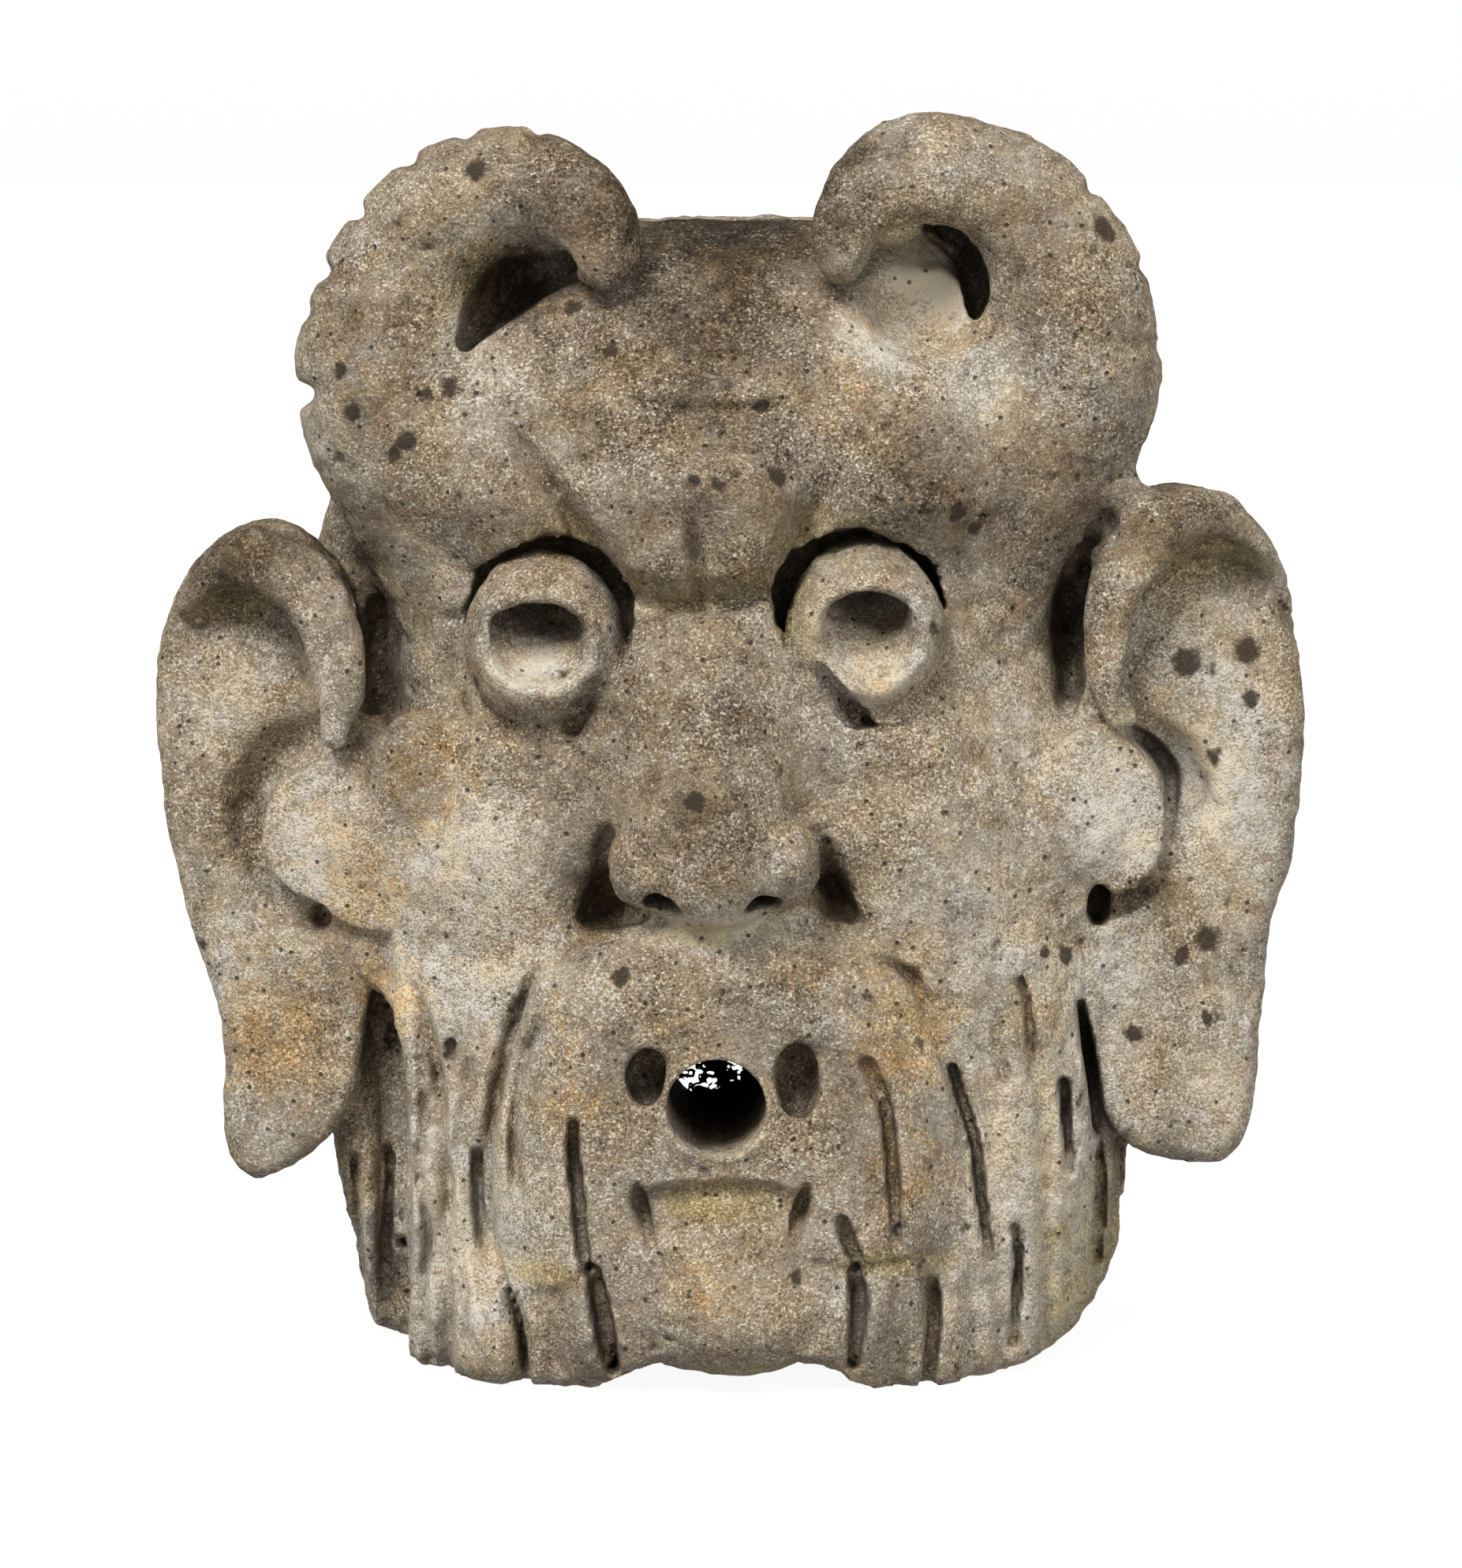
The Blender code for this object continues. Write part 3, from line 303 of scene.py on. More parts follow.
def eyes(stone):
    """Staring eyes: a ball in a deep socket, with a bowl scooped in its front and a pupil drilled in."""
    for side, x, z, socket_x, socket_z, bowl_x, bowl_z, bowl, pupil in (
            (-1, -70.5, 293.5, -66, 303, -71.5, 293, (20, 26, 15.5), (-72, -82, 302)),
            (1, 57, 298.5, 52.5, 306.5, 57.5, 295.5, (20.5, 26, 18.5), (57.5, -82, 306))):
        stone.plateau((x + 10 * side, z - 42), (46, 24), 7)
        stone.tube([(socket_x, -140, socket_z, 29.5), (socket_x, -58, socket_z, 29.5)], sign=-1, blend=2,
                   squash=(1, 0.4, 1))
        stone.ellipsoid((x, -70, z), (33, 38, 36.5), blend=2)
        stone.ellipsoid((bowl_x, -106, bowl_z), bowl, (10, 0, 0), sign=-1, blend=6)
        stone.ellipsoid(pupil, (15.8 - side, 23, 9 + 0.5 * side), (26, 5, 0), sign=-1, blend=6)
    for notch in ([(-50, -94, 278, 2.2), (-54, -90, 270, 3.4), (-59, -84, 261, 3)],
                  [(38, -95, 282, 3), (44, -92, 274, 4.4), (53, -85, 264, 3.8)]):
        stone.tube(notch, sign=-1, blend=2, squash=(1, 2, 1))
    for groove in ([(-102, 274, 1.6, 1), (-100, 266, 2.4, 5), (-94, 258, 2, 2), (-86, 256, 2, 1)],
                   [(-84, 256, 2, 1), (-74, 254, 2.4, 3), (-64, 257, 2, 1)],
                   [(56, 262, 2, 4), (66, 260, 2.4, 4), (80, 265, 2, 2), (87, 272, 1.6, 1)],
                   [(71, 331, 2, 3), (78, 325, 2, 5), (84, 316, 1.8, 5), (88, 305, 1.5, 2)]):
        stone.engrave(groove)
    for side, x, z in ((-1, -68, 292), (1, 57, 298)):
        stone.engrave([(x + 38 * side, z + 8, 5, 2), (x + 52 * side, z + 9, 7, 1),
                       (x + 66 * side, z + 12, 6, 0)])


def nose(stone):
    """A broad nose with drilled nostrils, and a deep hollow beside each wing."""
    stone.plateau((-6, 250), (62, 70), 10)
    stone.plateau((-8, 284), (33, 36), 8, edge=0.8, power=2.8)
    stone.tube([(-8, -66, 306, 26), (-8, -76, 276, 29), (-7, -88, 248, 31), (-5, -98, 222, 30),
                (-4, -100, 210, 27)], blend=20, squash=(1.1, 1, 1))
    for side, x in ((-1, -44), (1, 41)):
        stone.plateau((x + 8 * side, 188), (17, 30), -8, lean=-16 * side)
    fans = (((-45, -94, 217, 1.5), ((-49, -79, 185, 6.5), (-41, -77, 185, 7.5), (-34, -80, 185, 6))),
            ((39, -94, 217, 1.5), ((41, -79, 197, 5.5), (45, -79, 189, 5.5))))
    for top, feet in fans:
        for foot in feet:
            stone.tube([top, foot], sign=-1, blend=6, squash=(1, 2.2, 1))
    stone.engrave([(43, 197, 6, 3), (50, 187, 6, 5), (61, 176, 5, 1)])
    for side, x in ((-1, -27), (1, 22)):
        stone.ellipsoid((x, -97, 208), (18, 22, 19), blend=4)
    stone.ellipsoid((-3, -109, 205), (17, 22, 20), blend=10)
    for x in (-23, 15):
        stone.tube([(x, -134, 185, 4.5), (x, -112, 193, 6), (x, -92, 203, 6)], sign=-1, blend=1.5,
                   squash=(1.17, 1, 1))


def cheeks(stone):
    """Full cheeks, and a knob of flesh beside the left ear's root."""
    stone.plateau((-90, 216), (54, 56), 9)
    stone.plateau((84, 216), (54, 56), 9)
    stone.ellipsoid((-121, -57, 239), (19, 20, 26), blend=5)


def ears(stone):
    """Long beast's ears: a leaf of stone with a rolled rim, a scooped bowl, and a hollow behind a flap."""
    left = (
        (-162, 329), (-180, 338), (-200, 332), (-219, 312), (-228, 282), (-228, 240), (-223, 205),
        (-213, 168), (-203, 135), (-203, 98), (-199, 78), (-185, 72), (-160, 87), (-146, 108), (-139, 132),
        (-132, 162), (-134, 250), (-145, 302))
    right = (
        (164, 346), (182, 353), (206, 345), (223, 326), (231, 300), (235, 255), (232, 208), (223, 172),
        (218, 121), (215, 94), (208, 80), (196, 76), (166, 84), (152, 104), (146, 140), (136, 166),
        (140, 250), (149, 322))
    rolls = (
        [(-214, -27, 302, 6), (-203, -32, 317, 10), (-187, -37, 323, 13), (-170, -44, 315, 15),
         (-156, -50, 297, 13.5), (-151, -55, 274, 11), (-153, -59, 255, 7.5)],
        [(215, -27, 326, 6), (205, -31, 337, 8), (190, -37, 342, 11), (173, -43, 336, 15),
         (159, -47, 312, 14), (154, -50, 284, 12), (159, -54, 262, 8)])
    gaps = (
        [(-139, -42, 326, 4), (-139, -30, 298, 8), (-139, -32, 268, 6)],
        [(138, -42, 334, 4), (139, -30, 304, 8), (140, -32, 272, 5)])
    hollows = (
        [(-160, -46, 253, 6), (-172, -40, 250, 8), (-183, -35, 241, 8), (-189, -33, 228, 7.5),
         (-190, -33, 213, 7), (-187, -35, 202, 7), (-180, -38, 191, 6.5), (-170, -43, 182, 6),
         (-163, -46, 177, 5)],
        [(163, -47, 257, 3), (173, -41, 251, 6), (183, -36, 241, 9), (187, -34, 228, 9), (184, -37, 213, 6),
         (178, -42, 202, 3)])
    rims = (
        [(-217, 284, 8, 1), (-210, 294, 11, 5), (-201, 302, 14, 10), (-190, 304, 14, 13),
         (-181, 300, 13, 12), (-173, 292, 11, 9), (-166, 280, 9, 5), (-161, 269, 6, 1)],
        [(229, 290, 8, 1), (226, 301, 11, 4), (218, 311, 12, 7), (208, 319, 14, 12), (196, 322, 14, 14),
         (186, 320, 14, 13), (177, 316, 13, 12), (169, 308, 12, 11), (165, 298, 11, 9), (162, 288, 10, 7),
         (158, 272, 8, 4), (157, 260, 6, 1)])
    flaps = (
        ((-148, 250), (-163, 243), (-174, 237), (-181, 227), (-184, 214), (-182, 202), (-175, 192),
         (-166, 186), (-156, 181), (-144, 176), (-128, 180), (-122, 236)),
        ((146, 259), (162, 254), (170, 245), (176, 235), (179, 224), (178, 212), (173, 199), (166, 190),
         (150, 184), (130, 184), (126, 240)))
    parts = zip((-1, 1), (left, right), rolls, gaps, hollows, rims, flaps)
    for side, outline, roll, gap, hollow, rim, flap in parts:
        stone.ellipsoid((140 * side, 24, 290), (28, 32, 82), blend=10)
        stone.leaf(outline, lambda x, z, side=side: 0.30 * (x * side - 140) - 27 + 0 * z, 23, 10, blend=6)
        stone.ellipsoid((132 * side, -30, 214), (46, 32, 40), (0, 0, 14 * side), blend=16)
        stone.tube(gap, sign=-1, blend=2, squash=(0.75, 3.2, 1))
        bowl, under = ((((-191, 266), (29, 42), 8), ((-191, 284), (27, 27), 0)),
                       (((195, 282), (33, 45), -24), ((194, 301), (30, 29), 0)))[side > 0]
        stone.plateau(*bowl[:2], -20, edge=0.16, power=2.2, lean=bowl[2], fade=1)
        stone.plateau(*under[:2], -14, lean=under[2], fade=1)
        stone.tube(hollow, sign=-1, blend=11, squash=(1, 1.8, 1))
        stone.leaf(flap, lambda x, z, side=side: 0.22 * (x * side - 140) - 44 + 0 * z, 13, 3, blend=1)
        stone.ellipsoid((130 * side, -34, 214), (32, 30, 32), (0, 0, 14 * side), blend=10)
        stone.tube(roll[:4], blend=2)
        stone.tube(roll[3:], blend=2)
        stone.engrave(rim, lean=0.75 * side, behind=10)
    stone.tube([(-168, -46, 183, 4.5), (-161, -44, 180, 5)], sign=-1, blend=1.5, squash=(1, 3, 1))
    stone.tube([(151, -66, 185.5, 5.5), (150, -24, 185.5, 5.5)], sign=-1, blend=1, squash=(0.8, 1, 1.3))
    stone.tube([(177, -42, 194, 4.5), (167, -44, 190, 6.5), (156, -44, 187, 7)], sign=-1, blend=1.5)
    stone.engrave([(162, 255, 3.6, 2), (169, 250, 4, 7), (176, 243, 4.5, 9), (181, 234, 4.5, 7),
                   (181, 222, 4, 4), (179, 211, 3.6, 2)], soft=0.6, behind=10)


def muzzle(stone):
    """The swollen muzzle round the spout, with pits beside the lips, a shelf under them, and the chin."""
    stone.plateau((2, 86), (94, 98), 15, edge=0.28, power=2.5)
    stone.plateau((2, 132), (76, 50), 6)
    stone.ellipsoid((-1, -86, 154), (80, 30, 28), blend=14)
    stone.ellipsoid((3, -112, -8), (57, 68, 26), sign=-1, blend=3)
    stone.ellipsoid((3, -88, 33), (47, 47, 31), blend=4)
    stone.plateau((0, 72), (37, 15), -9, edge=0.35, power=3, fade=0.9)
    stone.tube([(-29.5, -140, 127, 8.5), (-29, -101, 125, 8)], sign=-1, blend=3, squash=(1, 1, 1.4))
    stone.tube([(29.5, -140, 125.5, 8), (29, -99, 124, 7.5)], sign=-1, blend=3, squash=(1, 1, 1.8))
    for side, x in ((-1, -32), (1, 32)):
        stone.engrave([(x + side, 82, 3, 5), (x, 76, 4.4, 11), (x - 2 * side, 69, 4, 10),
                       (x - 5 * side, 60, 2.6, 3)], soft=0.6)
    stone.plateau((SPOUT_X / PART, SPOUT_HEIGHT / PART), (26, 25), 3, edge=0.3)


def beard(stone):
    """Locks of beard, parted by steps, by valleys and one rib, and by slots cut with the drill."""
    steps = (
        ([(-141, 153, 8, 4), (-131, 136, 11, 13), (-128, 120, 12, 17), (-126, 96, 12, 18),
          (-125, 69, 12, 17), (-126, 34, 12, 15), (-129, -4, 12, 13)], -0.8),
        ([(-120, 154, 4, 2), (-115, 139, 6, 6), (-111, 118, 6, 10), (-110, 96, 7, 7), (-107, 74, 6, 10),
          (-109, 50, 7, 7), (-107, 24, 6, 10), (-109, -6, 7, 12)], -0.6),
        ([(-72, 163, 3.5, 3), (-76, 154, 4, 6), (-83, 134, 4.5, 7), (-88, 111, 5, 9), (-91, 94, 5, 10),
          (-91, 76, 5, 10), (-89, 54, 5.5, 10), (-84, 38, 6, 10), (-79, 22, 6, 11), (-76, -4, 6, 14)],
         -0.7),
        ([(60, 168, 4, 3), (74, 160, 5, 8), (81, 144, 6, 6), (86, 131, 6, 5), (90, 119, 6, 4),
          (94, 100, 6, 3), (98, 70, 6, 1)], 0.6))
    valleys = (
        [(-70, 160, 3, -2), (-74, 150, 3.5, -4), (-80, 130, 4, -5), (-85, 104, 4, -5), (-86, 80, 4, -4),
         (-85, 58, 3.5, -2)],
        [(-77, 136, 3, 3), (-81, 119, 4, 5), (-82, 99, 4, 5), (-80, 84, 4, 5), (-77, 66, 4, 1)],
        [(-100, 126, 5, 3), (-99, 96, 6, 6), (-97, 76, 7, 8), (-95, 56, 7, 7), (-92, 20, 5, 3)],
        [(-120, 126, 3, 2), (-118, 104, 4, 5), (-120, 82, 4, 3), (-117, 56, 4, 6), (-119, 30, 4, 4),
         (-117, 4, 5, 6)],
        [(-103, 112, 3, 1), (-104, 92, 4, 4), (-102, 66, 4, 2), (-103, 44, 4, 4), (-101, 18, 4, 3)],
        [(-136, 104, 4, 2), (-135, 76, 5, 5), (-137, 40, 4, 4), (-136, -4, 5, 8)],
        [(-148, 80, 4, 3), (-147, 40, 4, 3), (-146, -4, 4, 4)],
        [(101, 150, 6, 2), (107, 110, 7, 3), (110, 60, 7, 2), (112, 0, 6, 3)],
        [(126, 130, 5, 2), (129, 70, 6, 3), (130, 10, 5, 4)],
        [(-77, 34, 3, 2), (-70, 38, 4, 3), (-63, 40, 4, 3), (-57, 44, 4, 3), (-51, 51, 3, 2)],
        [(36, 53, 3, 2), (50, 50, 4, 3), (63, 51, 4, 3), (80, 53, 3, 1)],
        [(-62, 66, 6, 2), (-64, 42, 7, 2), (-66, 10, 8, 3)],
        [(68, 60, 8, 2), (68, 26, 8, 3), (69, -2, 8, 5)],
        [(98, 40, 7, 2), (99, 10, 7, 4), (99, -4, 7, 5)])
    slots = (
        [(-58, 106, 3.2, 7), (-58, 94, 3.5, 13), (-56, 76, 3.5, 13), (-55, 63, 3.5, 12), (-53, 50, 3.2, 7)],
        [(-50, 49, 3.7, 8), (-48, 38, 4.5, 16), (-45, 22, 5, 16), (-43, 11, 4.5, 8)],
        [(-97, 90, 3, 3), (-97, 84, 3.2, 5), (-97, 72, 2.8, 4), (-95, 54, 2.5, 2)],
        [(-82, 36, 2.7, 5), (-78, 24, 3.2, 8), (-76, 8, 3.5, 6)],
        [(-107, 133, 3.2, 7), (-107, 129, 3.2, 7)],
        [(57, 130, 4, 5), (62, 119, 4, 7), (65, 107, 3.5, 10), (67, 86, 3.5, 10), (68, 68, 3, 6),
         (69, 56, 2.7, 1)],
        [(47, 69, 3.5, 6), (50, 60, 4, 10), (54, 52, 3.2, 6)],
        [(52, 48, 4, 10), (54, 37, 4.7, 16), (53, 24, 4.2, 12), (52, 13, 4, 7)],
        [(91, 125, 2.6, 6), (94, 115, 2.7, 9), (98, 103, 2.8, 10), (101, 90, 2.8, 11), (102, 78, 3, 11),
         (104, 64, 2.8, 9), (106, 48, 2.4, 5)],
        [(82, 42, 3.7, 7), (83, 34, 4.2, 12), (83, 18, 3.7, 10), (81, -2, 4, 10)],
        [(116, 60, 2.3, 4), (118, 46, 2.5, 7), (117, 30, 2.6, 7), (116, 12, 2.4, 4)],
        [(136, 116, 3, 6), (137, 104, 2.8, 8), (138, 90, 2.5, 6), (139, 80, 2.2, 3)],
        [(108, 147, 2.7, 1), (109, 134, 3, 4), (112, 120, 3, 4)],
        [(118, 158, 2.5, 4), (121, 148, 2.5, 5), (122, 135, 2.5, 5), (123, 120, 2.2, 2)],
        [(152, 84, 3.2, 3), (153, 60, 3.5, 5), (152, 38, 3, 3)],
        [(161, 86, 3, 2), (160, 60, 3.2, 4), (158, 36, 3, 2)])
    stone.plateau((-68, 8), (46, 52), 10, edge=0.7)
    stone.plateau((-100, 0), (34, 60), 8, edge=0.7)
    stone.plateau((74, 8), (36, 54), 8, edge=0.7)
    behind_ear = [(143, 146, 3, 5), (146, 130, 4, 9), (149, 112, 4, 8), (151, 94, 4, 4)]
    stone.engrave(behind_ear, soft=0.8, behind=10)
    for knots, lean in steps:
        stone.engrave(knots, lean=lean, behind=15)
    for knots in valleys:
        stone.engrave(knots, behind=10)
    for knots in slots:
        stone.engrave(knots, soft=0.45, behind=10)


def sides(stone):
    """The block behind the beard stands back from it at both sides."""
    cuts = (((-200, -200, -60), (-142, -34, 150), 14), ((153, -200, -60), (220, -24, 146), 8))
    for low, high, reach in cuts:
        cut, x, y, z = stone.window([a - 14 for a in low], [b + 14 for b in high])
        inside = np.maximum(np.maximum(low[0] - x, x - high[0]), np.maximum(y - high[1], z - high[2]))
        stone.merge(cut, inside, reach, -1)


def wear(stone):
    """The broken lower edge on the right, and the worn edge all round the foot."""
    cut, x, y, z = stone.window((60, -140, -12), (185, 118, 70))
    stone.merge(cut, 0.7 * (137 + 0.15 * y - x + z), 10, -1)
    cut, x, y, z = stone.window((-260, -160, -12), (260, 118, 30))
    stone.merge(cut, z + 1.5 + 0 * x + 0 * y, 12, -1)


def carve():
    """The whole carving, as a field."""
    stone = Stone(BLOCK_LOW, BLOCK_HIGH, STEP)
    for work in (head, cheeks, brow, nose, frown, muzzle, eyes, sides, ears, beard, horns, wear):
        work(stone)
    return stone


def lattice_noise(axes, size, seed):
    """Smooth random values from -1 to 1 over a grid, with features of this size in parts."""
    sizes = (size,) * 3 if np.isscalar(size) else size
    weights = []
    for axis, cell_size in zip(axes, sizes):
        place = (axis - axis[0]) / cell_size
        cell = np.floor(place).astype(int)
        share = ease(place - cell)
        row = np.zeros((len(axis), cell[-1] + 2), np.float32)
        row[np.arange(len(axis)), cell] = 1 - share
        row[np.arange(len(axis)), cell + 1] = share
        weights.append(row)
    lattice = np.random.default_rng(seed).uniform(-1, 1, [row.shape[1] for row in weights])
    across = np.tensordot(weights[0], lattice.astype(np.float32), (1, 0))
    return np.matmul(weights[1], across) @ weights[2].T


def weather(stone):
    """Worn and sandy relief all over, with tooling on the flat sides, small holes and chipped edges."""
    for size, depth, seed in ((30, 1.1, 1), (13, 0.8, 2), (6, 0.6, 3), (3.2, 0.5, 4)):
        stone.field += depth * (lattice_noise(stone.axes, size, seed) + 0.4)
    cut, x, y, z = stone.window((-260, -2, -12), (260, 118, 512))
    axes = [axis[c] for axis, c in zip(stone.axes, cut)]
    stone.field[cut] += 1.3 * ease((y - 10) / 40) * (lattice_noise(axes, (9, 9, 40), 5) + 0.4)
    rng = np.random.default_rng(11)
    near = np.argwhere(np.abs(stone.field) < 0.6 * stone.step)
    for place in near[rng.choice(len(near), HOLES, replace=False)]:
        centre = np.array([axis[i] for axis, i in zip(stone.axes, place)])
        size = rng.uniform(1.0, 2.1)
        radii = (size, size * rng.uniform(0.8, 1.8), size * rng.uniform(0.8, 1.4))
        stone.ellipsoid(centre, radii, blend=0.5, sign=-1)


def cut_flat(stone):
    """The flat back and underside, the spout's bore through the mouth and its wider socket behind."""
    x, y, z = (axis.reshape([-1 if i == j else 1 for j in range(3)]) for i, axis in enumerate(stone.axes))
    field = stone.field
    out = np.sqrt((x - SPOUT_X / PART) ** 2 + (z - SPOUT_HEIGHT / PART) ** 2)
    np.maximum(field, SPOUT_BORE / PART / 2 - out, out=field)
    socket = np.minimum(SOCKET_BORE / PART / 2 - out, y - (BACK_Y - SOCKET_DEPTH) / PART)
    np.maximum(field, socket, out=field)
    np.maximum(field, y - BACK_Y / PART, out=field)
    np.maximum(field, -z, out=field)


def crust():
    """Lime and dirt caked in the bore, with two ragged gaps near its top that daylight shows through."""
    middle_x, middle_z = SPOUT_X / PART, SPOUT_HEIGHT / PART
    end = (BACK_Y - SOCKET_DEPTH) / PART
    low, high = (middle_x - 25, end - 17, middle_z - 25), (middle_x + 25, end + 1, middle_z + 25)
    lump = Stone(low, high, CRUST_STEP)
    x, y, z = (axis.reshape([-1 if i == j else 1 for j in range(3)]) for i, axis in enumerate(lump.axes))
    coarse, middling, fine = (lattice_noise(lump.axes, (size, 30, size), seed)
                              for size, seed in ((7, 23), (2.9, 21), (2.0, 22)))
    sag = z - 106.5 + 0.14 * (x + 14)
    gaps = np.maximum(1 - np.hypot((x + 12.5) / 8.5, sag / 6.5), 1 - np.hypot((x + 5) / 7, (z - 102.5) / 2.6))
    gaps = np.maximum(gaps, 1 - np.hypot((x - 4.5) / 4.6, (z - 106) / 5.5))
    veins = 4 * np.minimum(np.abs(middling) - 0.12 - 0.12 * coarse, np.abs(fine) - 0.1)
    veins = np.minimum(veins, 5 * gaps + 2.5 * middling)
    out = np.hypot(x - middle_x, z - middle_z) - 22
    lump.field[:] = np.maximum(np.maximum(veins, out), np.abs(y - end + 8) - 2)
    low = z - middle_z + 17 - 4 * coarse
    lump.merge((slice(None),) * 3, np.maximum(np.maximum(low, out), np.abs(y - end + 8) - 6), 1, 1)
    return lump


def enclosed(stone, places, facing, ways=40):
    """How much of what a point faces is stone close by: 0 in the open and near 1 deep in a crevice."""
    solid = stone.field < 0
    blocked = seen = 0
    for i in range(ways):
        height, turn = 1 - (2 * i + 1) / ways, i * math.pi * (3 - math.sqrt(5))
        flat = math.sqrt(1 - height * height)
        way = np.array([flat * math.cos(turn), flat * math.sin(turn), height])
        weight = np.maximum(facing @ way, 0)
        hit = np.zeros(len(places), bool)
        for reach in (4, 7, 11, 16, 23, 32, 44):
            cell = np.rint((places + 2.5 * facing + reach * way - stone.low) / stone.step).astype(int)
            hit |= solid[tuple(np.clip(cell, 0, np.array(solid.shape) - 1).T)]
        blocked, seen = blocked + weight * hit, seen + weight
    return blocked / seen


def blurred(solid, reach, times=2):
    """The share of stone round each cell, by running means along the axes."""
    width = 2 * reach + 1
    for axis in (0, 1, 2) * times:
        row = np.pad(np.moveaxis(solid, axis, 0), [(reach + 1, reach), (0, 0), (0, 0)], mode="edge")
        total = np.cumsum(row, axis=0, dtype=np.float32)
        solid = np.moveaxis((total[width:] - total[:-width]) / width, 0, axis)
    return solid


def sampled(grid, places):
    """Values of a grid between its cells."""
    top = np.array(grid.shape) - 2
    cell = np.clip(np.floor(places).astype(int), 0, top)
    share = np.clip(places - cell, 0, 1)
    value = 0
    for corner in np.ndindex(2, 2, 2):
        weight = np.prod([s if on else 1 - s for s, on in zip(share.T, corner)], axis=0)
        value = value + weight * grid[tuple((cell + corner).T)]
    return value


def stone_mesh(stone, name, kept):
    """The carving as one mesh in metres, with few enough faces to pass round."""
    grid = openvdb.FloatGrid(FAR)
    grid.copyFromArray(np.ascontiguousarray(stone.field))
    points, faces = grid.convertToQuads(0.0)
    points = points * stone.step + stone.low
    level = 0.6 * stone.step
    points[:, 1] = np.where(points[:, 1] > BACK_Y / PART - level, BACK_Y / PART, points[:, 1])
    points[:, 2] = np.where(points[:, 2] < level, 0, points[:, 2])
    mesh = bpy.data.meshes.new(name)
    mesh.vertices.add(len(points))
    mesh.vertices.foreach_set("co", (points * PART).astype(np.float32).ravel())
    mesh.loops.add(4 * len(faces))
    mesh.loops.foreach_set("vertex_index", faces.astype(np.int32).ravel())
    mesh.polygons.add(len(faces))
    mesh.polygons.foreach_set("loop_start", np.arange(0, 4 * len(faces), 4, dtype=np.int32))
    mesh.update(calc_edges=True)
    rough = linked(name + "_rough", mesh)
    fewer = rough.modifiers.new("fewer faces", "DECIMATE")
    fewer.ratio = min(1, kept / (2 * len(faces)))
    fewer.use_collapse_triangulate = True
    done = bpy.data.meshes.new_from_object(rough.evaluated_get(bpy.context.evaluated_depsgraph_get()))
    bpy.data.objects.remove(rough)
    done.name = name
    done.shade_smooth()
    return linked(name, done)


def vectors(items, name):
    """A vector of each of a mesh's items, as rows."""
    values = np.empty(3 * len(items), np.float32)
    items.foreach_get(name, values)
    return values.reshape(-1, 3)


def patch(places, centre, radii):
    """1 inside an oval patch seen from the front, fading to 0 at its edge."""
    off = [(places[:, i] - c) / r for i, c, r in zip((0, 2, 1), centre, radii)]
    return ease((1 - np.sqrt(sum(o * o for o in off))) / 0.9)
